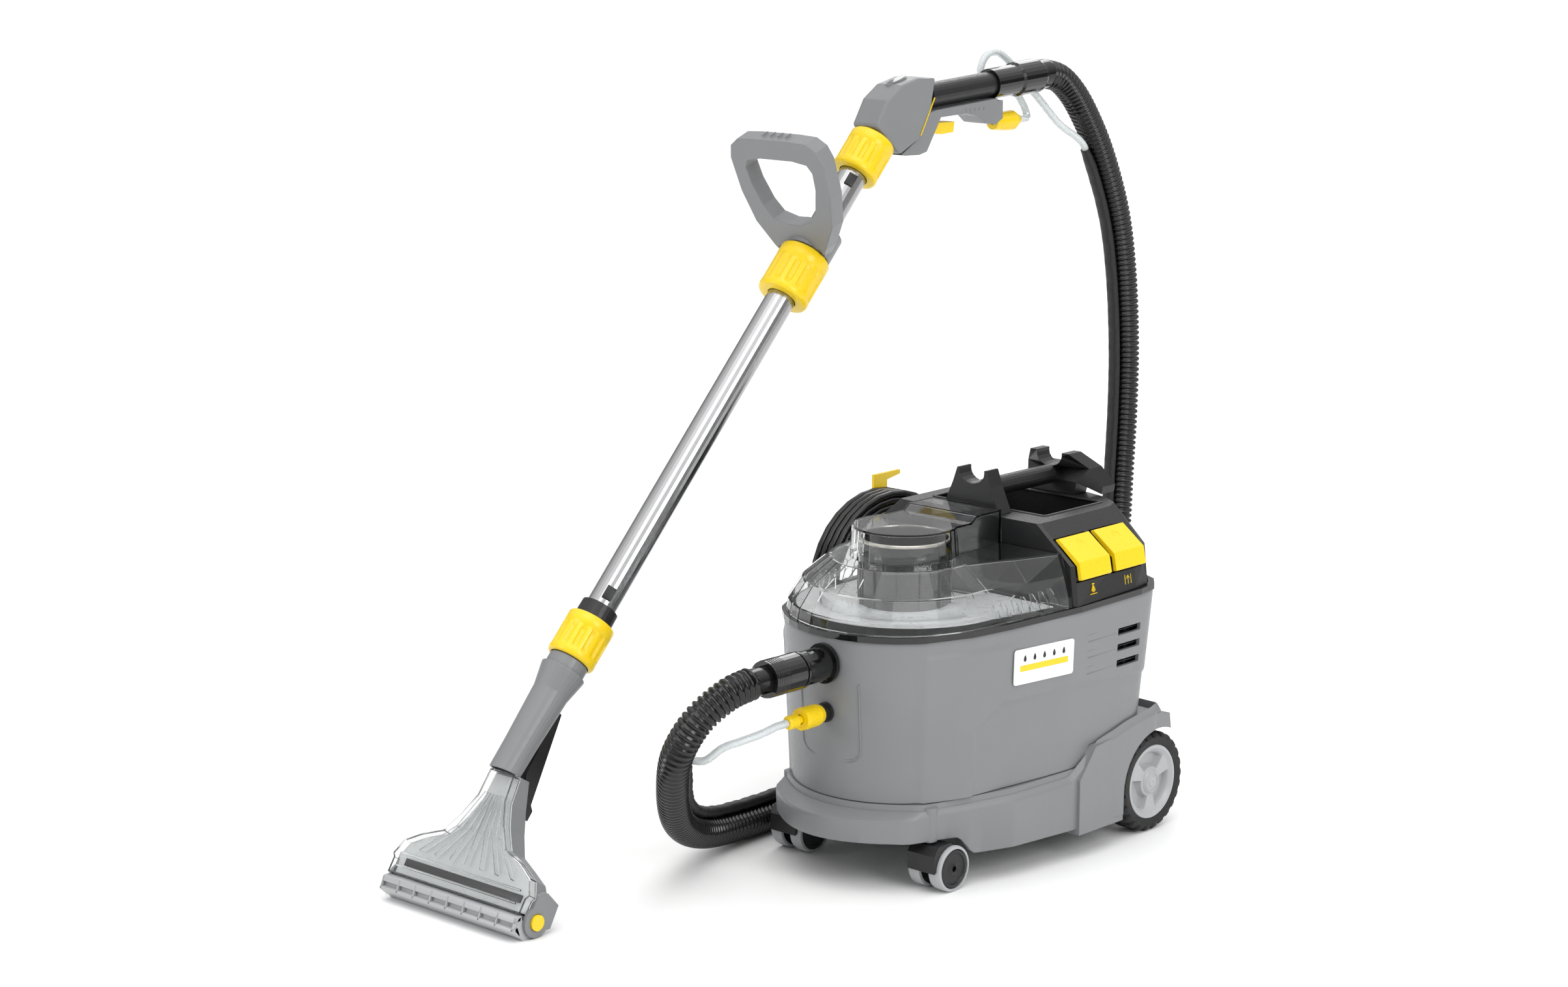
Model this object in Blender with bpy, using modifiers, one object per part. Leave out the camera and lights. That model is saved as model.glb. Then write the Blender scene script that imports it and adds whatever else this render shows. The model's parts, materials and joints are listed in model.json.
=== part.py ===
"""Spray extractor for carpets and upholstery, with its floor wand, suction hose and wound mains cable.

Units are metres, +Z is up. The machine's own frame has its middle plane at x = 0, its rear axle above
y = 0 and its front towards -Y; the empty "machine" puts that frame into the world. The wand stands in a
plane beside the machine, and the empty "wand" has its +Z along the steel tube.
"""

import math

import bmesh
import bpy
from mathutils import Matrix, Vector

# ---- driving dimensions -------------------------------------------------------------------------
GAP = 0.0003  # between two pieces that touch
RAKE = 0.03  # the body's seam rises this much per metre towards the rear

# body, seen from above
NOSE_Y = -0.268  # centre of the round nose
NOSE_R_TOP = 0.139
NOSE_R_BASE = 0.130
NOSE_ANGLE = 46.0  # degrees from the front to the crease where the flat side starts
CREASE_STEP = 0.0025
SIDE_HALF_TOP = 0.164
SIDE_HALF_BASE = 0.157
BODY_REAR_Y = 0.033
BODY_REAR_DRAFT = 0.018  # the rear corners reach this much less far back at the base
BODY_WALL = 0.004
BODY_BASE_Z = 0.100
BAND_Z = 0.268  # lower edge of the smooth band under the seal
BODY_TOP_Z = 0.286
SEAL_HEIGHT = 0.007
SEAL_WIDTH = 0.009
SEAL_PROUD = 0.0025

# chassis
SKIRT_FRONT_Y = -0.426
SKIRT_CORNER = (0.0875, -0.389)
SKIRT_HALF = 0.1655
SKIRT_LOW_Z = 0.036
SKIRT_NOSE_LOW_Z = 0.058
SKIRT_EDGE_Z = 0.0865
CHASSIS_WALL = 0.0035
FENDER_INNER_X = 0.109
FENDER_WALL = 0.004
FENDER_TOP_Z = 0.150

# running gear
WHEEL_R = 0.060
WHEEL_RIM_R = 0.0445
WHEEL_WIDTH = 0.036
WHEEL_OUTER_X = 0.157
AXLE_R = 0.006
RUNNING_CLEARANCE = 0.0004
ARCH_R = 0.067
CASTER_X = 0.1045
CASTER_Y = -0.331
CASTER_TRAIL = 0.016
CASTER_R = 0.0265
CASTER_WHEEL_WIDTH = 0.0185
CASTER_WEB_WIDTH = 0.0100
CASTER_HOOD_WIDTH = 0.0390
CASTER_HOOD_TOP_Z = 0.0568
CASTER_PIN_R = 0.0035
CASTER_STEM_R = 0.0050

# head and lid
HEAD_FRONT_Y = -0.160
HEAD_HALF = 0.1600
HEAD_SHOULDER = (0.1550, 0.347)  # half width and height of the panel's bend
HEAD_TOP = (0.104, 0.389)
TRAY_HALF = 0.084
TRAY_FRONT_Y = -0.122
TRAY_REAR_Y = -0.014
TRAY_FLOOR_Z = 0.350
LID_WALL = 0.003
LID_CYLINDER_R = 0.060
LID_CYLINDER_Y = -0.271
LID_CYLINDER_TOP_Z = 0.392
LID_SPINE_HALF = 0.052
LID_SPINE_TOP_Z = 0.399
LID_SHELF_Z = 0.354
SWITCH_LENGTH = 0.056
SWITCH_Y = (-0.127, -0.062)
SWITCH_THICKNESS = 0.006
CRADLE_SLOT = 0.037  # across the U that takes the wand's tube
CRADLE_TIP_Z = 0.438
CARRY_BAR_R = 0.0115
CARRY_BAR_Z = 0.411

# hose ends on the machine
INLET_Z = 0.256
INLET_CUFF_R = 0.0195
HOSE_CUFF_R = 0.0208
SPRAY_Z = 0.199
COUPLER_R = 0.0125
HOSE_R = 0.0185
SPRAY_HOSE_R = 0.0045

# cable storage on the -X side
HANK_CENTRE = (-0.095, 0.274)
HANK_RADII = (0.115, 0.105)
HANK_BAND = 0.024
HANK_X = (-0.2035, -0.1690)
HOOK_R = 0.008
HOOK_BOSS_X = 0.1620
HOOK_BOSS_R = 0.012

# wand
WAND_X = -0.2145
WAND_TILT = -43.3  # degrees about X from upright
WAND_FOOT = (-0.593, 0.256)  # y and z of the lower nut's lower end
TUBE_R = 0.0175
TUBE_WALL = 0.0010
TUBE_START = 0.030
TUBE_END = 0.722
NUT_LENGTH = 0.053
NUT_R = 0.0285
MIDDLE_NUT_START = 0.508
MIDDLE_NUT_LENGTH = 0.062
MIDDLE_NUT_R = 0.0315
UPPER_NUT_START = 0.691
LOOP_TILT = 111.7  # degrees about X from the floor to the loop's plane
LOOP_THICKNESS = 0.022
LOOP_AHEAD = 0.011  # the loop stands this far towards the nozzle from the collar's middle
GRIP_TILT = 3.4
GRIP_START = (0.0115, 0.8440)
GRIP_R = 0.0155
GRIP_LENGTH = 0.122
HANDLE_WIDTH = 0.042
HANDLE_CUFF_R = 0.0190
HANDLE_CUFF_END_R = 0.0215
HANDLE_CUFF_LENGTH = 0.095

# nozzle
NOZZLE_HALF = 0.1120
FAN_TILT = -32.8  # degrees about X from upright
FAN_FOOT = (-0.765, 0.045)
FAN_TOP = 0.127
FAN_COVER_DEPTH = 0.012
FAN_BACK_DEPTH = 0.016
BUTTON_R = 0.0090
BUTTON_DEPTH = 0.0080
BUTTON_TRAVEL = 0.0020
CHEEK = (-0.7525, 0.0177)  # y and z of the round cheeks' centre
CHEEK_R = 0.0172
CHEEK_WIDTH = 0.0040
LIP_FRONT_Y = -0.785

CUFF_END_Y = (
    GRIP_START[0]
    + (GRIP_LENGTH + HANDLE_CUFF_LENGTH) * math.cos(math.radians(GRIP_TILT))
    + (HANDLE_CUFF_END_R - 0.001) * math.sin(math.radians(GRIP_TILT))
)
BUTTON_OUT = 0.0025
WIDEST_X = max(SKIRT_HALF, SIDE_HALF_TOP + SEAL_PROUD)
MACHINE_X = -(WAND_X - NOZZLE_HALF - BUTTON_OUT + WIDEST_X) / 2
MACHINE_Y = -(LIP_FRONT_Y + CUFF_END_Y) / 2

# Routes, in the machine's frame, from the machine to the wand.
SUCTION_ROUTE = [
    (0.000, -0.5055, 0.2560),
    (0.000, -0.5250, 0.2560),
    (-0.006, -0.5555, 0.2485),
    (-0.020, -0.587, 0.2240),
    (-0.042, -0.596, 0.1855),
    (-0.075, -0.572, 0.1330),
    (-0.125, -0.511, 0.0680),
    (-0.164, -0.430, 0.0290),
    (-0.1755, -0.345, 0.0192),
    (-0.1815, -0.255, 0.0190),
    (-0.192, -0.160, 0.0190),
    (-0.199, -0.060, 0.0190),
    (-0.202, 0.040, 0.0190),
    (-0.203, 0.140, 0.0190),
    (-0.204, 0.225, 0.0210),
    (-0.206, 0.300, 0.0400),
    (-0.208, 0.361, 0.0860),
    (-0.210, 0.397, 0.1530),
    (-0.212, 0.413, 0.2300),
    (-0.2145, 0.422, 0.3200),
    (-0.2145, 0.427, 0.4080),
    (-0.2145, 0.427, 0.4900),
    (-0.2145, 0.418, 0.5870),
    (-0.2145, 0.401, 0.6650),
    (-0.2145, 0.369, 0.7390),
    (-0.2145, 0.340, 0.7860),
    (-0.2145, 0.304, 0.8290),
    (-0.2145, 0.273, 0.8510),
    (-0.2145, 0.2440, 0.8578),
    (-0.2145, 0.2288, 0.8569),
]
SPRAY_OFFSET = HOSE_R + SPRAY_HOSE_R + 0.0012
SPRAY_FROM_MACHINE = [
    (0.000, -0.4695, 0.1990),
    (0.000, -0.4850, 0.1990),
    (-0.003, -0.5060, 0.1945),
    (-0.010, -0.5280, 0.1900),
    (-0.022, -0.5480, 0.1835),
    (-0.037, -0.5600, 0.1690),
]
SPRAY_TO_WAND = [
    (-0.2200, 0.283, 0.7920),
    (-0.2320, 0.262, 0.8200),
    (-0.2420, 0.238, 0.8480),
    (-0.2470, 0.214, 0.8730),
    (-0.2480, 0.190, 0.8860),
    (-0.2480, 0.170, 0.8830),
    (-0.2480, 0.1585, 0.8670),
    (-0.2490, 0.1640, 0.8500),
    (-0.2500, 0.1850, 0.8435),
    (-0.2500, 0.2080, 0.8430),
    (-0.2480, 0.2270, 0.8350),
    (-0.2400, 0.2340, 0.8190),
    (-0.2280, 0.2270, 0.8070),
    (-0.2175, 0.2130, 0.8042),
    (-0.2145, 0.2030, 0.8040),
    (-0.2145, 0.1932, 0.8040),
]
MAINS_ROUTE = [
    (-0.094, 0.0560, 0.3300),
    (-0.096, 0.0720, 0.3292),
    (-0.106, 0.0900, 0.3240),
    (-0.126, 0.1000, 0.3150),
    (-0.150, 0.0950, 0.3040),
    (-0.170, 0.0770, 0.2930),
    (-0.182, 0.0540, 0.2840),
    (-0.186, 0.0360, 0.2780),
    (-0.186, 0.0205, 0.2740),
]

# ---- helpers ------------------------------------------------------------------------------------
for leftover in list(bpy.data.objects):
    bpy.data.objects.remove(leftover, do_unlink=True)

parts = bpy.data.collections.new("spray_extractor")
cutters = bpy.data.collections.new("cutters")
bpy.context.scene.collection.children.link(parts)
bpy.context.scene.collection.children.link(cutters)

machine = bpy.data.objects.new("machine", None)
machine.location = (MACHINE_X, MACHINE_Y, 0)
parts.objects.link(machine)
wand = bpy.data.objects.new("wand", None)
wand.parent = machine
wand.location = (WAND_X, WAND_FOOT[0], WAND_FOOT[1])
wand.rotation_euler.x = math.radians(WAND_TILT)
parts.objects.link(wand)

ALONG_X = Matrix(((0, 0, 1, 0), (1, 0, 0, 0), (0, 1, 0, 0), (0, 0, 0, 1)))  # outline (y, z), depth along x
ALONG_Y = Matrix(((1, 0, 0, 0), (0, 0, -1, 0), (0, 1, 0, 0), (0, 0, 0, 1)))  # outline (x, z), depth along -y


def material(name, colour, roughness, metallic=0.0, alpha=1.0):
    made = bpy.data.materials.new(name)
    made.use_nodes = True
    shader = made.node_tree.nodes["Principled BSDF"]
    shader.inputs["Base Color"].default_value = (*colour, 1)
    shader.inputs["Roughness"].default_value = roughness
    shader.inputs["Metallic"].default_value = metallic
    shader.inputs["Alpha"].default_value = alpha
    made.diffuse_color = (*colour, alpha)
    return made


GREY = material("grey_moulded_plastic", (0.175, 0.178, 0.183), 0.45)
LIGHT_GREY = material("light_grey_plastic", (0.36, 0.37, 0.38), 0.45)
BLACK = material("black_moulded_plastic", (0.012, 0.012, 0.013), 0.40)
GLOSS_BLACK = material("gloss_black_plastic", (0.008, 0.008, 0.009), 0.15)
YELLOW = material("yellow_plastic", (0.90, 0.68, 0.01), 0.35)
CLEAR = material("clear_polycarbonate", (0.90, 0.92, 0.92), 0.05, alpha=0.30)
MILKY = material("milky_polyethylene", (0.72, 0.78, 0.72), 0.45, alpha=0.80)
STEEL = material("brushed_stainless_steel", (0.56, 0.56, 0.56), 0.30, 1.0)
RUBBER = material("black_rubber", (0.015, 0.015, 0.015), 0.80)
WHITE = material("white_label", (0.85, 0.85, 0.85), 0.35)
CABLE = material("black_cable_sheath", (0.010, 0.010, 0.010), 0.25)


def add(name, data, finish, parent=machine, matrix=None, location=None):
    """Links a part's mesh or curve under its parent, with its finish."""
    made = bpy.data.objects.new(name, data)
    data.name = name
    if finish:
        data.materials.append(finish)
    made.parent = parent
    if matrix is not None:
        made.matrix_local = matrix
    if location is not None:
        made.location = location
    if finish:
        parts.objects.link(made)
    else:
        cutters.objects.link(made)
        made.hide_render = True
        made.display_type = "WIRE"
    if isinstance(data, bpy.types.Mesh):
        data.shade_smooth()
        data.set_sharp_from_angle(angle=math.radians(35))
    return made


def mesh_from(build):
    """A mesh filled in by build(bm)."""
    bm = bmesh.new()
    build(bm)
    data = bpy.data.meshes.new("shape")
    bm.to_mesh(data)
    bm.free()
    return data


def box(name, low, high, finish=None, parent=machine, round_by=0.0, matrix=None):
    """A box between two corners, its edges rounded by round_by."""
    size = [b - a for a, b in zip(low, high)]
    middle = Vector([(a + b) / 2 for a, b in zip(low, high)])

    def build(bm):
        bmesh.ops.create_cube(bm, size=1.0)
        bmesh.ops.scale(bm, vec=size, verts=bm.verts)
        bmesh.ops.translate(bm, vec=middle, verts=bm.verts)

    made = add(name, mesh_from(build), finish, parent, matrix)
    if round_by:
        bevel = made.modifiers.new("rounded_edges", "BEVEL")
        bevel.width = round_by
        bevel.segments = 2
    return made


def cylinder(name, start, end, radius, finish=None, parent=machine, sides=32, end_radius=None):
    """A cylinder or cone between two points."""
    start, end = Vector(start), Vector(end)
    turn = Vector((0, 0, 1)).rotation_difference(end - start).to_matrix().to_4x4()
    place = Matrix.Translation((start + end) / 2) @ turn

    def build(bm):
        bmesh.ops.create_cone(
            bm,
            cap_ends=True,
            segments=sides,
            radius1=radius,
            radius2=radius if end_radius is None else end_radius,
            depth=(end - start).length,
            matrix=place,
        )

    return add(name, mesh_from(build), finish, parent)


def turned(name, profile, finish=None, parent=machine, matrix=None, steps=28):
    """A profile of (radius, height), listed from top to bottom down its outer side, turned about Z."""
    closed = profile[0][0] > 0

    def build(bm):
        made = [bm.verts.new((r, 0, h)) for r, h in profile]
        for a, b in zip(made, made[1:]):
            bm.edges.new((a, b))
        if closed:
            bm.edges.new((made[-1], made[0]))

    made = add(name, mesh_from(build), finish, parent, matrix)
    screw = made.modifiers.new("turned", "SCREW")
    screw.steps = screw.render_steps = steps
    screw.use_merge_vertices = True
    screw.merge_threshold = 0.0001
    screw.use_smooth_shade = True
    return made


def plate(name, outlines, thickness, finish=None, parent=machine, matrix=None, round_by=0.0, offset=0.0):
    """A flat outline with any holes, thickened equally both ways, as a mesh."""
    curve = bpy.data.curves.new(name, "CURVE")
    curve.dimensions = "2D"
    curve.fill_mode = "BOTH"
    curve.extrude = thickness / 2
    for outline in outlines:
        spline = curve.splines.new("POLY")
        spline.points.add(len(outline) - 1)
        for point, (u, v) in zip(spline.points, outline):
            point.co = (u, v, 0, 1)
        spline.use_cyclic_u = True
    guide = bpy.data.objects.new(name + "_outline", curve)
    cutters.objects.link(guide)
    graph = bpy.context.evaluated_depsgraph_get()
    data = bpy.data.meshes.new_from_object(guide.evaluated_get(graph))
    bpy.data.objects.remove(guide)
    bm = bmesh.new()
    bm.from_mesh(data)
    bmesh.ops.remove_doubles(bm, verts=bm.verts, dist=1e-6)
    bmesh.ops.translate(bm, vec=(0, 0, offset), verts=bm.verts)
    bmesh.ops.recalc_face_normals(bm, faces=bm.faces)
    bm.to_mesh(data)
    bm.free()
    made = add(name, data, finish, parent, matrix)
    if round_by:
        bevel = made.modifiers.new("rounded_edges", "BEVEL")
        bevel.width = round_by
        bevel.segments = 2
        bevel.angle_limit = math.radians(60)
    return made


def loft(name, rings, finish=None, parent=machine, wall=0.0, open_end=None):
    """Closed rings joined one to the next. With a wall, it is a shell that is open at its top or base."""

    def build(bm):
        made = [[bm.verts.new(p) for p in ring] for ring in rings]
        count = len(made[0])
        for low, high in zip(made, made[1:]):
            for i in range(count):
                j = (i + 1) % count
                bm.faces.new((low[i], low[j], high[j], high[i]))
        if open_end != "base":
            bm.faces.new(reversed(made[0]))
        if open_end != "top":
            bm.faces.new(made[-1])

    made = add(name, mesh_from(build), finish, parent)
    if wall:
        shell = made.modifiers.new("wall", "SOLIDIFY")
        shell.thickness = wall
        shell.offset = -1
        shell.use_even_offset = True
    return made


def combine(target, other, operation="DIFFERENCE"):
    """A live exact Boolean; the other object is a hidden cutter."""
    step = target.modifiers.new(other.name, "BOOLEAN")
    step.operation = operation
    step.solver = "EXACT"
    step.object = other
    return target


def smooth_route(points, spacing):
    """Evenly spaced points on a centripetal Catmull-Rom curve through the given points."""
    knots = [Vector(p) for p in points]
    knots = [2 * knots[0] - knots[1], *knots, 2 * knots[-1] - knots[-2]]
    fine = []
    for p0, p1, p2, p3 in zip(knots, knots[1:], knots[2:], knots[3:]):
        times = [0.0]
        for a, b in ((p0, p1), (p1, p2), (p2, p3)):
            times.append(times[-1] + math.sqrt((b - a).length))
        t0, t1, t2, t3 = times
        for step in range(24):
            t = t1 + (t2 - t1) * step / 24
            a1 = p0.lerp(p1, (t - t0) / (t1 - t0))
            a2 = p1.lerp(p2, (t - t1) / (t2 - t1))
            a3 = p2.lerp(p3, (t - t2) / (t3 - t2))
            b1 = a1.lerp(a2, (t - t0) / (t2 - t0))
            b2 = a2.lerp(a3, (t - t1) / (t3 - t1))
            fine.append(b1.lerp(b2, (t - t1) / (t2 - t1)))
    fine.append(knots[-2].copy())
    lengths = [0.0]
    for a, b in zip(fine, fine[1:]):
        lengths.append(lengths[-1] + (b - a).length)
    count = max(2, round(lengths[-1] / spacing))
    out, at = [], 0
    for i in range(count + 1):
        want = lengths[-1] * i / count
        while at < len(fine) - 2 and lengths[at + 1] < want:
            at += 1
        share = (want - lengths[at]) / max(1e-9, lengths[at + 1] - lengths[at])
        out.append(fine[at].lerp(fine[at + 1], min(1.0, share)))
    return out


def cord_points(points, spacing):
    """A smooth route whose first and last stretches are straight, where it leaves its fittings."""
    return [Vector(points[0]), *smooth_route(points[1:-1], spacing), Vector(points[-1])]


def tube(name, points, radius, finish, parent=machine, resolution=2):
    curve = bpy.data.curves.new(name, "CURVE")
    curve.dimensions = "3D"
    curve.bevel_depth = radius
    curve.bevel_resolution = resolution
    curve.use_fill_caps = True
    spline = curve.splines.new("POLY")
    spline.points.add(len(points) - 1)
    for point, where in zip(spline.points, points):
        point.co = (*where, 1)
    return add(name, curve, finish, parent)


def arc(centre, radius, start, end, steps):
    """Points (u, v) on an arc, angles in degrees."""
    for i in range(steps + 1):
        a = math.radians(start + (end - start) * i / steps)
        yield (centre[0] + radius * math.cos(a), centre[1] + radius * math.sin(a))


def mirrored(half):
    """A closed ring from its +X half, listed from the front's middle to the rear's middle."""
    return half + [(-x, y) for x, y in reversed(half[1:-1])]


def at_height(outline, z, rake=RAKE):
    """A plan outline lifted to z at the nose, rising towards the rear with the rake."""
    nose = NOSE_Y - NOSE_R_TOP
    return [(x, y, z + rake * (y - nose)) for x, y in outline]


def in_fan(u, v, n=0.0):
    """A point of the nozzle's fan plane: u across, v up along the fan, n towards its front."""
    a = math.radians(FAN_TILT)
    return (
        WAND_X + u,
        FAN_FOOT[0] - v * math.sin(a) - n * math.cos(a),
        FAN_FOOT[1] + v * math.cos(a) - n * math.sin(a),
    )


# ---- body ---------------------------------------------------------------------------------------
def body_plan(radius, side_half, step, inset=0.0, draft=0.0):
    """Half of the body's outline from above: round nose, crease, flaring side, rounded rear."""
    r = radius - inset
    half = side_half - inset
    rear = BODY_REAR_Y - inset
    corner = -draft - inset
    nose = [
        (r * math.sin(a), NOSE_Y - r * math.cos(a))
        for a in (math.radians(NOSE_ANGLE * i / 5) for i in range(6))
    ]
    a = math.radians(NOSE_ANGLE + 4)
    side_start = ((r + step) * math.sin(a), NOSE_Y - (r + step) * math.cos(a))
    front_half = r + (half - r) * 0.15
    return nose + [
        side_start,
        ((side_start[0] + front_half * 2) / 3 + step * 0.5, NOSE_Y - (NOSE_Y - side_start[1]) * 0.45),
        (front_half + step * 0.6, NOSE_Y + 0.012),
        (half - 0.005, -0.150),
        (half, -0.044 - draft),
        (half - 0.003, -0.016 + corner),
        (half - 0.017, 0.002 + corner),
        (0.110, rear - 0.012 - draft / 2),
        (0.060, rear - 0.004),
        (0.0, rear),
    ]


def body_ring(z, inset=0.0):
    """The body's outer ring at a height, with its draft; the crease fades out above the band."""
    share = min(1.0, max(0.0, (z - BODY_BASE_Z) / (BODY_TOP_Z - BODY_BASE_Z)))
    step = CREASE_STEP if z <= BAND_Z else 0.0
    radius = NOSE_R_BASE + (NOSE_R_TOP - NOSE_R_BASE) * share
    half = SIDE_HALF_BASE + (SIDE_HALF_TOP - SIDE_HALF_BASE) * share
    return at_height(mirrored(body_plan(radius, half, step, inset, BODY_REAR_DRAFT * (1 - share))), z)


def fender_outline(grow=0.0):
    """Side view (y, z) of the block over a rear wheel."""
    return [
        (-0.150 - grow, SKIRT_LOW_Z - 0.006),
        (-0.150 - grow, 0.097),
        (-0.123 - grow, 0.134 + grow),
        (0.004, FENDER_TOP_Z + grow),
        (0.022 + grow, 0.145 + grow),
        (0.026 + grow, 0.115),
        (0.026 + grow, SKIRT_LOW_Z - 0.006),
    ]


def side_block(name, side, inner, outer, grow=0.0):
    """The fender's outline between two distances from the middle plane, on the +X or -X side."""
    middle = side * (inner + outer) / 2
    return plate(name, [fender_outline(grow)], outer - inner, matrix=Matrix.Translation((middle, 0, 0)) @ ALONG_X)


def chassis_plan(front_y, corner, half, rear_y, inset=0.0):
    """Half of the chassis' outline: bowed front between two corners, flaring sides, rounded rear."""
    corner_x, corner_y = corner[0] - inset * 0.7, corner[1] + inset
    front_y, half, rear_y = front_y + inset, half - inset, rear_y - inset
    rise = corner_y - front_y
    bow = [(corner_x * i / 4, front_y + rise * (i / 4) ** 2) for i in range(5)]
    return bow + [
        (corner_x + 0.012, corner_y + 0.010),
        (half - 0.017, -0.250),
        (half - 0.006, -0.160),
        (half, -0.080),
        (half, -0.010),
        (half - 0.010, 0.014),
        (0.110, rear_y - 0.008),
        (0.0, rear_y),
    ]


def chassis_ring(z, grow, rake=RAKE, inset=0.0):
    """The chassis' outline at a height: grow is how far it stands out from the body's foot, 0 to 1."""
    low = Vector((NOSE_Y - NOSE_R_BASE - 0.001, 0.092, -0.364, SIDE_HALF_BASE))
    full = Vector((SKIRT_FRONT_Y, *SKIRT_CORNER, SKIRT_HALF - 0.001))
    front_y, corner_x, corner_y, half = low.lerp(full, grow)
    return at_height(mirrored(chassis_plan(front_y, (corner_x, corner_y), half, 0.030, inset)), z, rake)


def make_chassis():
    """Skirt, deck, wheel arches and caster sockets in one moulding."""
    wall = CHASSIS_WALL
    inside = [
        chassis_ring(BODY_BASE_Z - GAP - wall, 0.0, inset=wall * 0.5), chassis_ring(SKIRT_EDGE_Z - wall, 1.0, inset=wall),
        chassis_ring(0.020, 0.92, 0.0, wall),
    ]
    outside = [
        chassis_ring(0.020, 0.92, 0.0), chassis_ring(SKIRT_EDGE_Z - 0.003, 1.0), chassis_ring(SKIRT_EDGE_Z, 0.95),
        chassis_ring(BODY_BASE_Z - GAP, 0.0),
    ]
    chassis = loft("chassis", inside + outside, GREY)
    for side, word in ((1, "right"), (-1, "left")):
        combine(chassis, side_block("fender_" + word, side, FENDER_INNER_X, SKIRT_HALF), "UNION")
        stem = (side * CASTER_X, CASTER_Y - CASTER_TRAIL)
        boss = cylinder(
            "caster_boss_" + word, (*stem, 0.0585), (*stem, BODY_BASE_Z - 0.002), CASTER_STEM_R + 0.0035,
            sides=20,
        )
        combine(chassis, boss, "UNION")
    for side, word in ((1, "right"), (-1, "left")):
        inner = side * (FENDER_INNER_X + FENDER_WALL)
        outer = side * (SKIRT_HALF + 0.02)
        combine(chassis, cylinder("arch_" + word, (inner, 0, WHEEL_R), (outer, 0, WHEEL_R), ARCH_R, sides=32))
        low, high = sorted((inner, outer))
        combine(chassis, box("arch_foot_" + word, (low, -ARCH_R, -0.02), (high, 0.08, WHEEL_R)))
        combine(chassis, box("arch_back_" + word, (low, 0.0, 0.03), (high, 0.08, 0.112)))
        stem = (side * CASTER_X, CASTER_Y - CASTER_TRAIL)
        bore = cylinder(
            "stem_bore_" + word, (*stem, 0.03), (*stem, BODY_BASE_Z - CHASSIS_WALL - 0.001), CASTER_STEM_R + RUNNING_CLEARANCE,
            sides=20,
        )
        combine(chassis, bore)
    bore_r = AXLE_R + RUNNING_CLEARANCE
    combine(chassis, cylinder("axle_bore", (-0.13, 0, WHEEL_R), (0.13, 0, WHEEL_R), bore_r, sides=20))
    low_edge = [
        (-0.50, 0.0), (-0.50, SKIRT_NOSE_LOW_Z), (-0.319, SKIRT_NOSE_LOW_Z + 0.0015), (-0.299, SKIRT_LOW_Z + 0.001),
        (-0.084, SKIRT_LOW_Z), (0.10, SKIRT_LOW_Z), (0.10, 0.0),
    ]
    combine(chassis, plate("low_edge", [low_edge], 0.5, matrix=ALONG_X))
    return chassis


def side_at(y, z):
    """Outer x of the body's flat side at a place on it."""
    ring = body_ring(z)
    for (x0, y0, _), (x1, y1, _) in zip(ring[6:12], ring[7:12]):
        if y0 <= y <= y1:
            return x0 + (x1 - x0) * (y - y0) / (y1 - y0)
    return SIDE_HALF_TOP


def make_body():
    outside = [body_ring(z) for z in (BODY_BASE_Z, 0.180, BAND_Z, BAND_Z + 0.006, BODY_TOP_Z)]
    inside = [body_ring(z, BODY_WALL) for z in (BODY_TOP_Z, BAND_Z + 0.006, BAND_Z, 0.180, BODY_BASE_Z + BODY_WALL)]
    tub = loft("body_tub", outside + inside, GREY)
    for side, word in ((1, "right"), (-1, "left")):
        combine(tub, side_block("wheel_room_" + word, side, FENDER_INNER_X - 0.001, SKIRT_HALF + 0.01, 0.0005))
    for row in range(3):
        low = 0.216 + row * 0.019
        combine(tub, box(f"vent_slot_{row}", (0.120, -0.082, low), (0.175, -0.040, low + 0.0085)))
    combine(tub, cylinder("inlet_hole", (0, -0.44, INLET_Z), (0, -0.37, INLET_Z), INLET_CUFF_R - 0.002))
    combine(tub, cylinder("spray_hole", (0, -0.44, SPRAY_Z), (0, -0.37, SPRAY_Z), 0.0085, sides=20))
    box("vent_grille", (0.1465, -0.090, 0.212), (0.1500, -0.046, 0.266), BLACK)

    z = 0.245
    front, rear = -0.252, -0.160
    a, b = Vector((side_at(front, z), front)), Vector((side_at(rear, z), rear))
    turn = math.atan2(b.x - a.x, b.y - a.y)
    middle = (a + b) / 2
    draft = math.atan2(SIDE_HALF_TOP - SIDE_HALF_BASE, BODY_TOP_Z - BODY_BASE_Z)
    place = (
        Matrix.Translation((middle.x + 0.0015, middle.y, z))
        @ Matrix.Rotation(-turn, 4, "Z")
        @ Matrix.Rotation(draft, 4, "Y")
    )
    box("label_plate", (0, -0.046, -0.0205), (0.0012, 0.046, 0.0205), WHITE, matrix=place)


def make_tanks():
    fresh = [mirrored(tank_plan(r, 0.128)) for r in (0.108, 0.114)]
    loft(
        "fresh_water_tank",
        [at_height(fresh[0], BODY_BASE_Z + BODY_WALL + GAP), at_height(fresh[1], 0.188)],
        MILKY,
        wall=0.0025,
        open_end="top",
    )
    waste = [mirrored(tank_plan(r, 0.135)) for r in (0.116, 0.126)]
    loft(
        "waste_water_tank",
        [at_height(waste[0], 0.196), at_height(waste[1], BODY_TOP_Z - 0.004)],
        MILKY,
        wall=0.0025,
        open_end="top",
    )


def tank_plan(radius, half):
    """Half of a tank's outline: round nose and straight rear wall."""
    nose = [(radius * math.sin(a), NOSE_Y - radius * math.cos(a)) for a in (math.radians(11.25 * i) for i in range(9))]
    return nose + [(half, -0.185), (half - 0.008, -0.172), (0.0, -0.172)]


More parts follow.
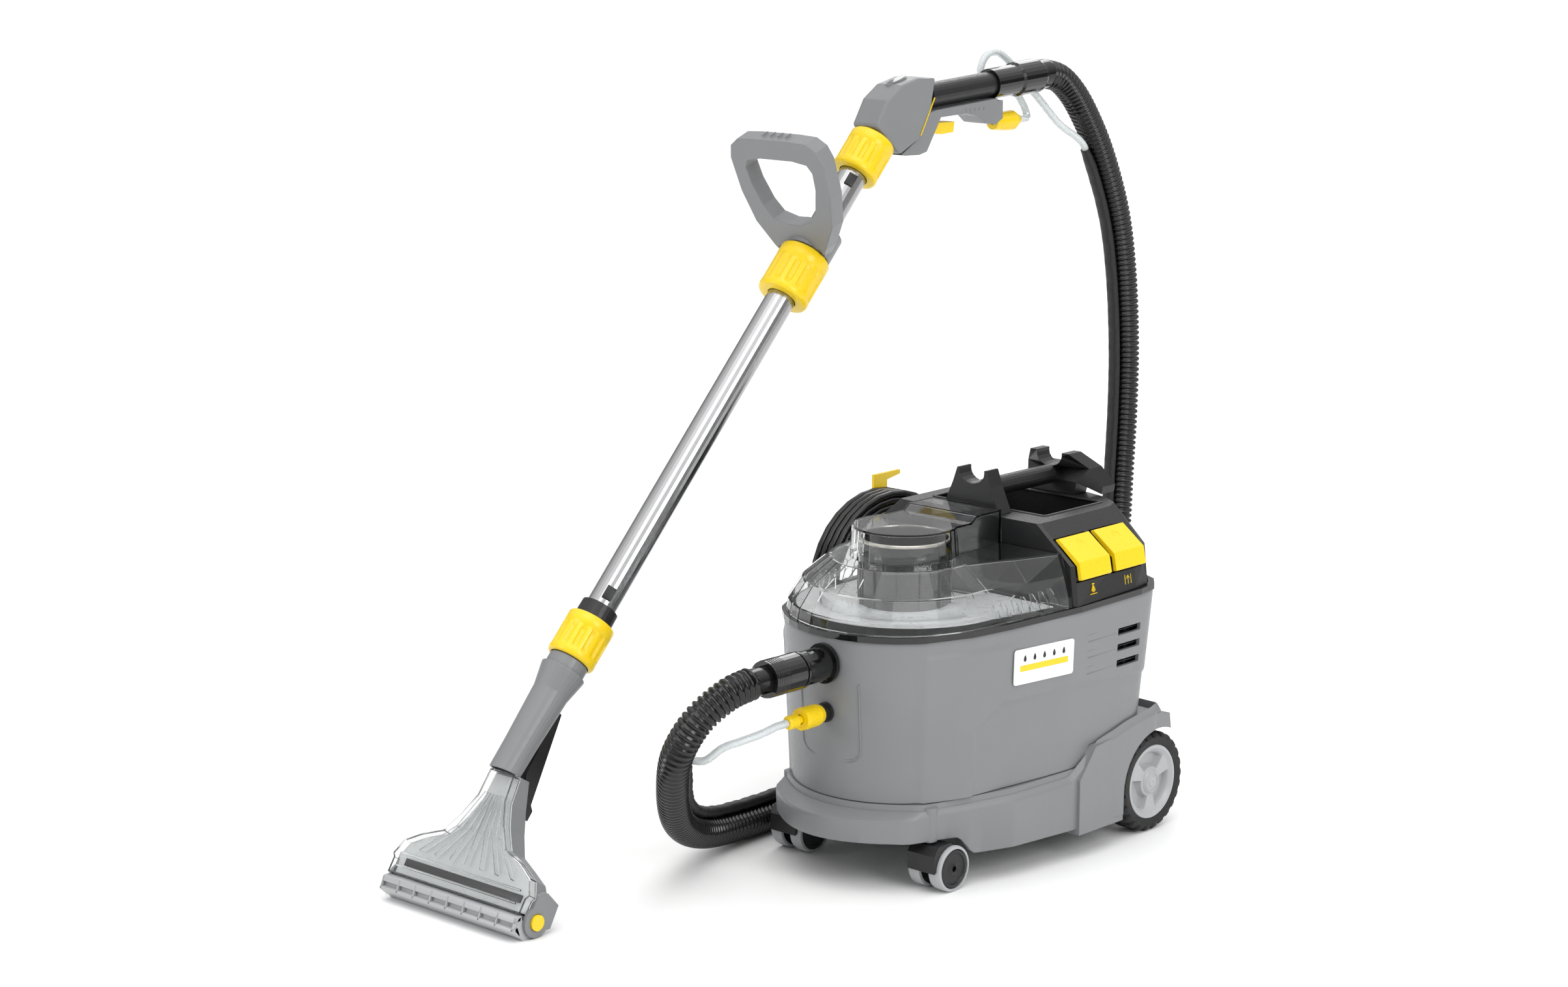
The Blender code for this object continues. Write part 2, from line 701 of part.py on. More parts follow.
def make_inside():
    cylinder("suction_turbine", (0, -0.085, 0.190), (0, -0.085, 0.285), 0.052, BLACK, sides=24)
    pump = cylinder("spray_pump", (-0.050, -0.090, 0.140), (0.030, -0.090, 0.140), 0.024, BLACK, sides=20)
    combine(pump, box("pump_foot", (-0.045, -0.112, BODY_BASE_Z + 0.0155), (0.025, -0.068, 0.135)), "UNION")


def make_seal():
    outline = mirrored(body_plan(NOSE_R_TOP + SEAL_PROUD, SIDE_HALF_TOP + SEAL_PROUD, 0.0))
    low, high = BODY_TOP_Z + GAP, BODY_TOP_Z + SEAL_HEIGHT
    inner = mirrored(
        body_plan(NOSE_R_TOP + SEAL_PROUD - SEAL_WIDTH, SIDE_HALF_TOP + SEAL_PROUD - SEAL_WIDTH, 0.0)
    )

    def build(bm):
        rings = [
            [bm.verts.new(p) for p in at_height(line, z)]
            for line, z in ((outline, low), (outline, high), (inner, high), (inner, low))
        ]
        for ring, following in zip(rings, rings[1:] + rings[:1]):
            for i in range(len(ring)):
                j = (i + 1) % len(ring)
                bm.faces.new((ring[i], ring[j], following[j], following[i]))

    add("rim_seal", mesh_from(build), GLOSS_BLACK)


# ---- lid and head -------------------------------------------------------------------------------
def lid_plan(radius, half, inset=0.0):
    """Half of the lid's outline: round nose, flaring side, straight rear."""
    r = radius - inset
    nose = [(r * math.sin(a), NOSE_Y - r * math.cos(a)) for a in (math.radians(11.25 * i) for i in range(9))]
    rear = HEAD_FRONT_Y - 0.002 - inset
    return nose + [((r + half) / 2, (NOSE_Y + rear) / 2), (half - inset, rear), (0.0, rear)]


def lid_rings(inset=0.0, below=0.0):
    low = BODY_TOP_Z + SEAL_HEIGHT + GAP
    levels = ((0.1370, 0.1565, low), (0.1345, 0.1550, 0.306), (0.1190, 0.1480, 0.329), (0.0880, 0.1390, LID_SHELF_Z))
    rings = [at_height(mirrored(lid_plan(r, half, inset)), z) for r, half, z in levels]
    rings[0] = [(x, y, z - below) for x, y, z in rings[0]]
    rings[3] = [(x, y, z - inset) for x, y, z in rings[3]]
    return rings


def lid_tower(name, grow):
    """The raised cylinder with the spine behind it, as a hidden block."""
    top = LID_CYLINDER_TOP_Z + grow
    post = cylinder(
        name, (0, LID_CYLINDER_Y, 0.335 + grow), (0, LID_CYLINDER_Y, top), LID_CYLINDER_R + 0.004 + grow,
        end_radius=LID_CYLINDER_R + grow, sides=36,
    )
    return post


def make_lid():
    lid = loft("clear_lid", lid_rings(), CLEAR)
    rear = HEAD_FRONT_Y - 0.002
    spine = [
        (LID_CYLINDER_Y, 0.346), (LID_CYLINDER_Y, LID_CYLINDER_TOP_Z), (-0.215, LID_CYLINDER_TOP_Z),
        (-0.205, LID_SPINE_TOP_Z), (rear, LID_SPINE_TOP_Z), (rear, 0.346),
    ]
    w = LID_WALL
    hollow = [
        (LID_CYLINDER_Y, 0.33), (LID_CYLINDER_Y, LID_CYLINDER_TOP_Z - w), (-0.2135, LID_CYLINDER_TOP_Z - w),
        (-0.2035, LID_SPINE_TOP_Z - w), (rear - w, LID_SPINE_TOP_Z - w), (rear - w, 0.33),
    ]
    combine(lid, plate("spine", [spine], 2 * LID_SPINE_HALF, matrix=ALONG_X), "UNION")
    combine(lid, lid_tower("lid_cylinder", 0.0), "UNION")
    combine(lid, loft("lid_inside", lid_rings(LID_WALL, 0.01)))
    combine(lid, plate("spine_hollow", [hollow], 2 * (LID_SPINE_HALF - w), matrix=ALONG_X))
    combine(lid, lid_tower("lid_hollow", -LID_WALL))
    r = LID_CYLINDER_R - 0.009
    turned(
        "lid_separator",
        [(r, 0.374), (r, 0.300), (r - 0.003, 0.300), (r - 0.003, 0.374)],
        GLOSS_BLACK,
        matrix=Matrix.Translation((0, LID_CYLINDER_Y, 0)),
        steps=32,
    )
    turned(
        "float",
        [(0, 0.330), (0.020, 0.326), (0.022, 0.318), (0.022, 0.286), (0, 0.282)],
        MILKY,
        matrix=Matrix.Translation((0, LID_CYLINDER_Y, 0)),
        steps=20,
    )


def head_ring(z, half, front, rear, rake=0.0):
    plan = [
        (0.0, front),
        (half - 0.004, front),
        (half, front + 0.004),
        (half + (0.0015 if rake else 0), -0.048),
        (half - 0.002, -0.022),
        (half * 0.90, -0.004),
        (half * 0.68, rear - 0.013),
        (half * 0.37, rear - 0.004),
        (0.0, rear),
    ]
    return at_height(mirrored(plan), z, rake)


def make_head():
    low = BODY_TOP_Z + SEAL_HEIGHT + GAP
    front = HEAD_FRONT_Y
    head = loft(
        "head_housing",
        [
            head_ring(low, HEAD_HALF, front, BODY_REAR_Y - 0.001, RAKE),
            head_ring(HEAD_SHOULDER[1], HEAD_SHOULDER[0], front, BODY_REAR_Y - 0.003),
            head_ring(HEAD_TOP[1], HEAD_TOP[0], front + 0.001, BODY_REAR_Y - 0.008),
        ],
        BLACK,
    )
    combine(head, box("tray_room", (-TRAY_HALF, TRAY_FRONT_Y, TRAY_FLOOR_Z), (TRAY_HALF, TRAY_REAR_Y, 0.45)))
    combine(head, box("turbine_room", (-0.060, -0.146, 0.20), (0.060, -0.024, TRAY_FLOOR_Z - 0.004)))

    hook_y, hook_z = hook_place()
    boss = cylinder("hook_boss", (-0.148, hook_y, hook_z), (-HOOK_BOSS_X, hook_y, hook_z), HOOK_BOSS_R, sides=24)
    combine(head, boss, "UNION")

    slope = Vector((HEAD_TOP[0] - HEAD_SHOULDER[0], HEAD_TOP[1] - HEAD_SHOULDER[1])).normalized()
    out = Vector((slope.y, -slope.x))
    bend = Vector(HEAD_SHOULDER)
    t = SWITCH_THICKNESS
    clear = 0.0008
    inner = [bend + slope * 0.040 + out * clear, bend + out * clear, Vector((0.1583, 0.330)) + out * clear]
    outer = [bend + slope * 0.037 + out * t, bend + out * (t + 0.001) + Vector((0.001, 0)), Vector((0.1645, 0.332))]
    outline = [tuple(p) for p in inner + outer[::-1]]
    well = [
        bend + slope * 0.042 + out * 0.002, bend + slope * 0.042 - out * 0.005, bend - out * 0.005 + slope * 0.002,
        Vector((0.1530, 0.328)), Vector((0.1640, 0.328)), bend + out * 0.006,
    ]
    for name, y in zip(("spray_switch", "suction_switch"), SWITCH_Y):
        place = Matrix.Translation((0, y, 0)) @ ALONG_Y
        combine(head, plate(name + "_well", [[tuple(p) for p in well]], SWITCH_LENGTH + 0.002, matrix=place))
        plate(name, [outline], SWITCH_LENGTH, YELLOW, matrix=Matrix.Translation((0, y, 0)) @ ALONG_Y, round_by=0.0012)


def make_carry_handle():
    """Two U cradles for the wand's tube, and the bar between them that carries the machine."""
    slot = CRADLE_SLOT / 2
    floor_z = CARRY_BAR_Z + CARRY_BAR_R + 0.002
    well = list(arc((0, floor_z + slot * 0.72), slot, 180, 360, 10))
    well = [(x, floor_z + (z - floor_z) * 0.72 if z < floor_z + slot else z) for x, z in well]
    base = HEAD_TOP[1] + GAP
    front = [(-0.042, base), (-0.028, 0.420), (-slot - 0.003, CRADLE_TIP_Z), (-slot, CRADLE_TIP_Z)]
    front_line = front + well + [(slot, CRADLE_TIP_Z), (slot + 0.003, CRADLE_TIP_Z), (0.028, 0.420), (0.042, base)]
    plate("front_cradle", [front_line], 0.022, BLACK, matrix=Matrix.Translation((0, -0.142, 0)) @ ALONG_Y)
    rear = [
        (-0.034, base), (-0.036, 0.404), (-0.056, 0.389), (-0.057, 0.398), (-0.046, 0.420), (-slot - 0.010, CRADLE_TIP_Z),
        (-slot, CRADLE_TIP_Z),
    ]
    rear_line = rear + well + [(-x, z) for x, z in reversed(rear)]
    cradle = plate("rear_cradle", [rear_line], 0.024, BLACK, matrix=Matrix.Translation((0, 0.004, 0)) @ ALONG_Y)
    for vertex in cradle.data.vertices:
        beyond = max(0.0, abs(vertex.co.x) - 0.030)
        vertex.co.z -= beyond * 1.15
    cylinder(
        "carry_handle", (0, -0.131 + GAP, CARRY_BAR_Z), (0, -0.008 - GAP, CARRY_BAR_Z), CARRY_BAR_R, BLACK, sides=20
    )


# ---- running gear -------------------------------------------------------------------------------
def make_rear_wheels():
    length = WHEEL_OUTER_X - 0.006
    cylinder("rear_axle", (-length, 0, WHEEL_R), (length, 0, WHEEL_R), AXLE_R, STEEL, sides=20)
    for side, word in ((1, "right"), (-1, "left")):
        place = Matrix.Translation((side * WHEEL_OUTER_X, 0, WHEEL_R)) @ Matrix.Rotation(side * math.pi / 2, 4, "Y")
        w = WHEEL_WIDTH
        tyre = [
            (WHEEL_RIM_R + GAP, -0.001), (WHEEL_R - 0.005, 0.0), (WHEEL_R, -0.006), (WHEEL_R, 0.006 - w),
            (WHEEL_R - 0.005, -w), (WHEEL_RIM_R + GAP, 0.001 - w),
        ]
        turned("tyre_" + word, tyre, RUBBER, matrix=place, steps=36)
        bore = AXLE_R + RUNNING_CLEARANCE
        rim = [
            (bore, -0.0015), (0.012, -0.0015), (0.013, -0.006), (0.037, -0.006), (0.040, -0.002),
            (WHEEL_RIM_R, -0.002), (WHEEL_RIM_R, 0.002 - w), (0.038, 0.002 - w), (0.036, -0.018),
            (0.014, -0.018), (0.014, 0.003 - w), (bore, 0.003 - w),
        ]
        turned("rim_" + word, rim, LIGHT_GREY, matrix=place, steps=32)


def make_casters():
    for side, word in ((1, "right"), (-1, "left")):
        x = side * CASTER_X
        stem_y = CASTER_Y - CASTER_TRAIL
        centre = (CASTER_Y, CASTER_R)
        top = CASTER_HOOD_TOP_Z
        web = [
            (stem_y - 0.009, top - 0.003), (stem_y - 0.011, 0.034), (CASTER_Y - 0.008, CASTER_R - 0.010),
            (CASTER_Y + 0.008, CASTER_R - 0.008), (CASTER_Y + 0.015, 0.045), (CASTER_Y - 0.001, top - 0.0025),
        ]
        hole = list(arc(centre, CASTER_PIN_R + RUNNING_CLEARANCE, 0, 345, 12))
        place = Matrix.Translation((x, 0, 0)) @ ALONG_X
        housing = plate("caster_housing_" + word, [web, hole], CASTER_WEB_WIDTH, BLACK, matrix=place)
        inner = list(arc(centre, CASTER_R + 0.0010, 178, 62, 8))
        hood = [(stem_y - 0.0145, 0.026), (stem_y - 0.0145, 0.046), (stem_y - 0.008, top - 0.001), (CASTER_Y - 0.004, top)]
        hood = hood + inner[::-1]
        combine(housing, plate("caster_hood_" + word, [hood], CASTER_HOOD_WIDTH, matrix=place), "UNION")
        stem = cylinder(
            "caster_stem_" + word, (x, stem_y, 0.052), (x, stem_y, BODY_BASE_Z - CHASSIS_WALL - 0.003), CASTER_STEM_R,
            sides=16,
        )
        combine(housing, stem, "UNION")
        inner = CASTER_WEB_WIDTH / 2 + 0.0008
        outer = inner + CASTER_WHEEL_WIDTH
        r = CASTER_R
        profile = [
            (0, outer - 0.001), (r - 0.007, outer - 0.001), (r - 0.006, outer), (r - 0.002, outer - 0.001),
            (r, outer - 0.004), (r, inner + 0.002), (r - 0.002, inner), (CASTER_PIN_R, inner),
            (CASTER_PIN_R, -inner), (r - 0.002, -inner), (r, -inner - 0.002), (r, 0.004 - outer),
            (r - 0.002, 0.001 - outer), (r - 0.006, -outer), (r - 0.007, 0.001 - outer), (0, 0.001 - outer),
        ]
        place = Matrix.Translation((x, CASTER_Y, r)) @ Matrix.Rotation(math.pi / 2, 4, "Y")
        turned("caster_wheels_" + word, profile, BLACK, matrix=place, steps=28)


# ---- hose ends, hoses and cable -----------------------------------------------------------------
def along_front(radii_at):
    """A profile for turned(), from (distance in front of y = 0, radius) pairs, to lie along -Y."""
    return [(r, h) for h, r in radii_at]


FORWARD = Matrix.Rotation(math.pi / 2, 4, "X")  # turns +Z to -Y


def make_inlets():
    place = Matrix.Translation((0, 0, INLET_Z)) @ FORWARD
    wall = -NOSE_Y + NOSE_R_TOP - 0.001
    bore = INLET_CUFF_R - 0.005
    turned(
        "hose_socket",
        along_front([(wall + 0.005, bore), (wall + 0.005, INLET_CUFF_R + 0.0035), (wall + 0.001, INLET_CUFF_R + 0.0035),
                     (wall + 0.001, bore)]),
        GLOSS_BLACK, matrix=place, steps=28,
    )
    start = wall + 0.005 + GAP
    turned(
        "swivel_cuff",
        along_front([(0.4555, bore), (0.4555, INLET_CUFF_R), (start, INLET_CUFF_R), (start, bore)]),
        GLOSS_BLACK, matrix=place, steps=28,
    )
    turned(
        "hose_cuff",
        along_front([(0.505, bore), (0.505, HOSE_CUFF_R), (0.4565, HOSE_CUFF_R + 0.0007), (0.4558, HOSE_CUFF_R - 0.001),
                     (0.4558, bore)]),
        GLOSS_BLACK, matrix=place, steps=28,
    )
    place = Matrix.Translation((0, 0, SPRAY_Z)) @ FORWARD
    wall = -NOSE_Y + NOSE_R_BASE + (NOSE_R_TOP - NOSE_R_BASE) * 0.55
    turned(
        "coupler_socket",
        along_front([(wall + 0.012, 0.003), (wall + 0.012, 0.0095), (wall + 0.004, 0.0095), (wall + 0.004, 0.0115),
                     (wall + 0.001, 0.0115), (wall + 0.001, 0.003)]),
        BLACK, matrix=place, steps=20,
    )
    start = wall + 0.012 + GAP
    turned(
        "coupler_sleeve",
        along_front([(0.4470, 0.0055), (0.4470, 0.0125), (0.4420, COUPLER_R + 0.0005), (0.4220, COUPLER_R),
                     (start, 0.0105), (start, 0.0055)]),
        YELLOW, matrix=place, steps=24,
    )
    turned(
        "spray_hose_nut",
        along_front([(0.4690, 0.003), (0.4690, 0.0060), (0.4660, 0.0080), (0.4545, 0.0080), (0.4525, 0.0065),
                     (0.4525, 0.0048), (0.4380, 0.0048), (0.4380, 0.003)]),
        YELLOW, matrix=place, steps=16,
    )


def make_hoses():
    tube("suction_hose", cord_points(SUCTION_ROUTE, 0.036), HOSE_R, CABLE, resolution=3)
    middle = smooth_route(SUCTION_ROUTE, 0.030)
    beside = []
    for before, here, after in zip(middle, middle[1:], middle[2:]):
        along = (after - before).normalized()
        beside.append(here + Vector((1, 0, 0)).cross(along).normalized() * SPRAY_OFFSET)
    joined = [p for p in beside if p.y > -0.60][5:-4]
    route = SPRAY_FROM_MACHINE + [tuple(p) for p in joined] + SPRAY_TO_WAND
    tube("spray_hose", cord_points(route, 0.032), SPRAY_HOSE_R, CLEAR)


def hook_place():
    """y and z of the upper cable hook's pin, inside the top of the wound cable."""
    cy, cz = HANK_CENTRE
    return cy + 0.018, cz + HANK_RADII[1] - HANK_BAND - HOOK_R - 0.0045


def make_cable_storage():
    cy, cz = HANK_CENTRE
    hook_y, hook_z = hook_place()

    def oval(shrink, steps=28):
        return [
            (cy + (HANK_RADII[0] - shrink) * math.cos(a), cz + (HANK_RADII[1] - shrink) * math.sin(a))
            for a in (math.tau * i / steps for i in range(steps))
        ]

    middle = sum(HANK_X) / 2
    plate(
        "cable_hank", [oval(0), oval(HANK_BAND)[::-1]], HANK_X[1] - HANK_X[0], CABLE,
        matrix=Matrix.Translation((middle, 0, 0)) @ ALONG_X, round_by=0.006,
    )
    inner_low = cz - HANK_RADII[1] + HANK_BAND
    root = -HOOK_BOSS_X - GAP
    tip = HANK_X[0] - 0.0010
    hook = cylinder("cable_hook", (root, hook_y, hook_z), (tip - 0.004, hook_y, hook_z), HOOK_R, YELLOW, sides=20)
    tongue = [(hook_y - 0.012, hook_z - 0.010), (hook_y + 0.012, hook_z - 0.010), (hook_y + 0.012, 0.384),
              (hook_y + 0.036, 0.388), (hook_y + 0.036, 0.393), (hook_y - 0.012, 0.393)]
    combine(hook, plate("hook_tongue", [tongue], 0.004, matrix=Matrix.Translation((tip - 0.002, 0, 0)) @ ALONG_X), "UNION")
    low_z = inner_low + HOOK_R + 0.002
    root = -side_at(cy, low_z + HOOK_R) - 0.0006
    low = cylinder("lower_cable_hook", (root, cy, low_z), (tip - 0.004, cy, low_z), HOOK_R, BLACK, sides=20)
    tongue = [(cy - 0.010, low_z + 0.010), (cy - 0.010, 0.158), (cy + 0.010, 0.158), (cy + 0.010, low_z + 0.010)]
    combine(low, plate("low_tongue", [tongue], 0.004, matrix=Matrix.Translation((tip - 0.002, 0, 0)) @ ALONG_X), "UNION")

    cable_r = 0.0041
    tube("mains_lead", cord_points(MAINS_ROUTE, 0.014), cable_r, CABLE)
    x, y, z = MAINS_ROUTE[0]
    start = y - GAP
    turned(
        "cable_gland",
        [(0.0045, start), (0.0060, start), (0.0085, start - 0.024), (0.0110, start - 0.025), (0.0110, start - 0.030),
         (0.0045, start - 0.030)],
        BLACK, matrix=Matrix.Translation((x, 0, z)) @ Matrix.Rotation(-math.pi / 2, 4, "X"), steps=20,
    )
    plug_x = HANK_X[0] - GAP - 0.0170
    turned(
        "mains_plug",
        [(0, 0.296), (0.0060, 0.295), (0.0075, 0.272), (0.0160, 0.262), (0.0165, 0.236), (0.0150, 0.232), (0, 0.232)],
        BLACK, matrix=Matrix.Translation((plug_x, -0.012, 0)), steps=24,
    )


# ---- wand ---------------------------------------------------------------------------------------
def nut_profile(start, length, radius, bore):
    """A union nut with a plain band above and a rounded lip below."""
    top = start + length
    return [
        (bore, top), (radius - 0.0015, top), (radius, top - 0.002), (radius, top - length * 0.26),
        (radius - 0.002, top - length * 0.28), (radius - 0.002, start + length * 0.20), (radius, start + length * 0.17),
        (radius, start + 0.003), (radius - 0.003, start), (bore, start),
    ]


def make_tube_and_nuts():
    r = TUBE_R
    turned(
        "suction_tube",
        [(r - TUBE_WALL, TUBE_END), (r, TUBE_END), (r, TUBE_START), (r - TUBE_WALL, TUBE_START)],
        STEEL, wand, steps=28,
    )
    bore = r + 0.0055
    turned("lower_nut", nut_profile(0.0, NUT_LENGTH, NUT_R, bore + 0.0008), YELLOW, wand, steps=32)
    turned(
        "tube_collar", [(r + GAP, 0.072), (r + 0.0045, 0.071), (r + 0.0055, 0.028), (r + GAP, 0.028)], BLACK, wand, steps=28
    )
    turned(
        "middle_nut", nut_profile(MIDDLE_NUT_START, MIDDLE_NUT_LENGTH, MIDDLE_NUT_R, r + 0.0007), YELLOW, wand, steps=32
    )
    turned("upper_nut", nut_profile(UPPER_NUT_START, NUT_LENGTH, NUT_R, r + 0.0007), YELLOW, wand, steps=32)


def make_loop_handle():
    """The second hand's loop, standing on a collar round the tube."""
    outer = [
        (0.026, -0.010), (0.040, 0.006), (0.060, 0.036), (0.070, 0.075), (0.0725, 0.118), (0.067, 0.134),
        (0.054, 0.143), (0.028, 0.1445),
    ]
    inner = [(0.010, 0.036), (0.030, 0.042), (0.041, 0.058), (0.050, 0.085), (0.052, 0.106), (0.046, 0.116), (0.026, 0.1195)]
    outer = outer + [(-u, v) for u, v in reversed(outer)]
    inner = inner + [(-u, v) for u, v in reversed(inner)]
    start = MIDDLE_NUT_START + MIDDLE_NUT_LENGTH + 0.002
    collar = cylinder("d_handle", (0, 0, start), (0, 0, start + 0.034), TUBE_R + 0.011, GREY, wand, sides=32)
    a = math.radians(WAND_TILT)
    centre = start + 0.016
    at = Vector((WAND_X, WAND_FOOT[0] - centre * math.sin(a), WAND_FOOT[1] + centre * math.cos(a)))
    turn = Matrix.Rotation(math.radians(LOOP_TILT), 4, "X")
    place = Matrix.Translation(at) @ turn @ Matrix.Translation((0, 0, LOOP_AHEAD))
    loop = plate("loop", [outer, inner], LOOP_THICKNESS, matrix=place, round_by=0.006)
    combine(collar, loop, "UNION")
    bore = cylinder("collar_bore", (0, 0, start - 0.03), (0, 0, start + 0.07), TUBE_R + 0.0007, parent=wand, sides=32)
    combine(collar, bore)
    nut_room = cylinder("nut_room", (0, 0, start - 0.08), (0, 0, start - 0.0010), MIDDLE_NUT_R + 0.004, parent=wand, sides=32)
    combine(collar, nut_room)


def make_grip():
    elbow_low = [(0.0000, 0.8285), (-0.0220, 0.7960), (-0.0575, 0.7795)]
    elbow = [
        (-0.0990, 0.8157), (-0.0905, 0.8290), (-0.0800, 0.8460), (-0.0540, 0.8625), (-0.0250, 0.8690), (0.0080, 0.8675),
    ] + elbow_low
    in_wand_plane = Matrix.Translation((WAND_X, 0, 0)) @ ALONG_X
    plate("handle_elbow", [elbow], HANDLE_WIDTH, GREY, matrix=in_wand_plane, round_by=0.007)
    a = math.radians(GRIP_TILT)
    place = Matrix.Translation((WAND_X, *GRIP_START)) @ Matrix.Rotation(a - math.pi / 2, 4, "X")
    turned(
        "grip_tube", [(GRIP_R - 0.002, GRIP_LENGTH), (GRIP_R, GRIP_LENGTH), (GRIP_R, 0.0), (GRIP_R - 0.002, 0.0)],
        BLACK, matrix=place, steps=28,
    )
    start = GRIP_LENGTH + GAP
    end = GRIP_LENGTH + HANDLE_CUFF_LENGTH
    joint = start + 0.050
    r, big, inner = HANDLE_CUFF_R, HANDLE_CUFF_END_R, GRIP_R - 0.002
    turned(
        "handle_cuff",
        [(inner, end), (big - 0.001, end), (big, end - 0.004), (big, joint), (r, joint - 0.003), (r, start), (inner, start)],
        GLOSS_BLACK, matrix=place, steps=28,
    )
    drop = 0.0006
    slope = math.tan(a)
    under = GRIP_START[1] - GRIP_R / math.cos(a) - drop
    cuff_under = GRIP_START[1] - HANDLE_CUFF_R / math.cos(a) - drop
    cuff_start = GRIP_START[0] + GRIP_LENGTH * math.cos(a) - 0.002
    shell = [
        (elbow_low[0][0] + 0.0010, under + (elbow_low[0][0] - GRIP_START[0]) * slope - 0.0015),
        (GRIP_START[0] + 0.001, under),
        (cuff_start - 0.001, under + (cuff_start - GRIP_START[0]) * slope),
        (cuff_start, cuff_under + (cuff_start - GRIP_START[0]) * slope),
        (0.141, cuff_under + (0.141 - GRIP_START[0]) * slope),
        (0.141, 0.810), (0.127, 0.803), (0.107, 0.806), (0.095, 0.8150), (0.072, 0.8205), (0.022, 0.8190),
        (0.016, 0.8095), (-0.004, 0.7795), (-0.018, 0.7765), (-0.044, 0.7775),
        (elbow_low[2][0] + 0.006, elbow_low[2][1] - 0.0010),
        (elbow_low[1][0] + 0.0006, elbow_low[1][1] - 0.0008),
    ]
    plate("grip_shell", [shell], 0.034, GREY, matrix=in_wand_plane)
    trigger = [
        (-0.0028, 0.7790), (0.0172, 0.8090), (0.0230, 0.8120), (0.0560, 0.8110), (0.0540, 0.7985), (0.0320, 0.7975),
        (0.0165, 0.7990), (0.0055, 0.7835),
    ]
    plate("trigger", [trigger], 0.020, YELLOW, matrix=in_wand_plane)
    coupler = Matrix.Translation((WAND_X, 0, 0.8040)) @ Matrix.Rotation(-math.pi / 2, 4, "X")
    turned(
        "wand_coupler",
        [(0.0035, 0.1925), (0.0060, 0.1925), (0.0100, 0.1840), (0.0125, 0.1790), (0.0120, 0.1620), (0.0095, 0.1415),
         (0.0035, 0.1415)],
        YELLOW, matrix=coupler, steps=20,
    )


def fan_outline(half, top_half):
    """The nozzle's fan from the front: narrow at the neck, sweeping out to its full width."""
    side = [
        (half, -0.016), (half, 0.001), (half + 0.0035, 0.006), (half - 0.006, 0.024), (half * 0.74, 0.036),
        (half * 0.47, 0.047), (half * 0.32, 0.070), (top_half + 0.003, 0.095), (top_half, FAN_TOP),
    ]
    return side + [(-u, v) for u, v in reversed(side)]


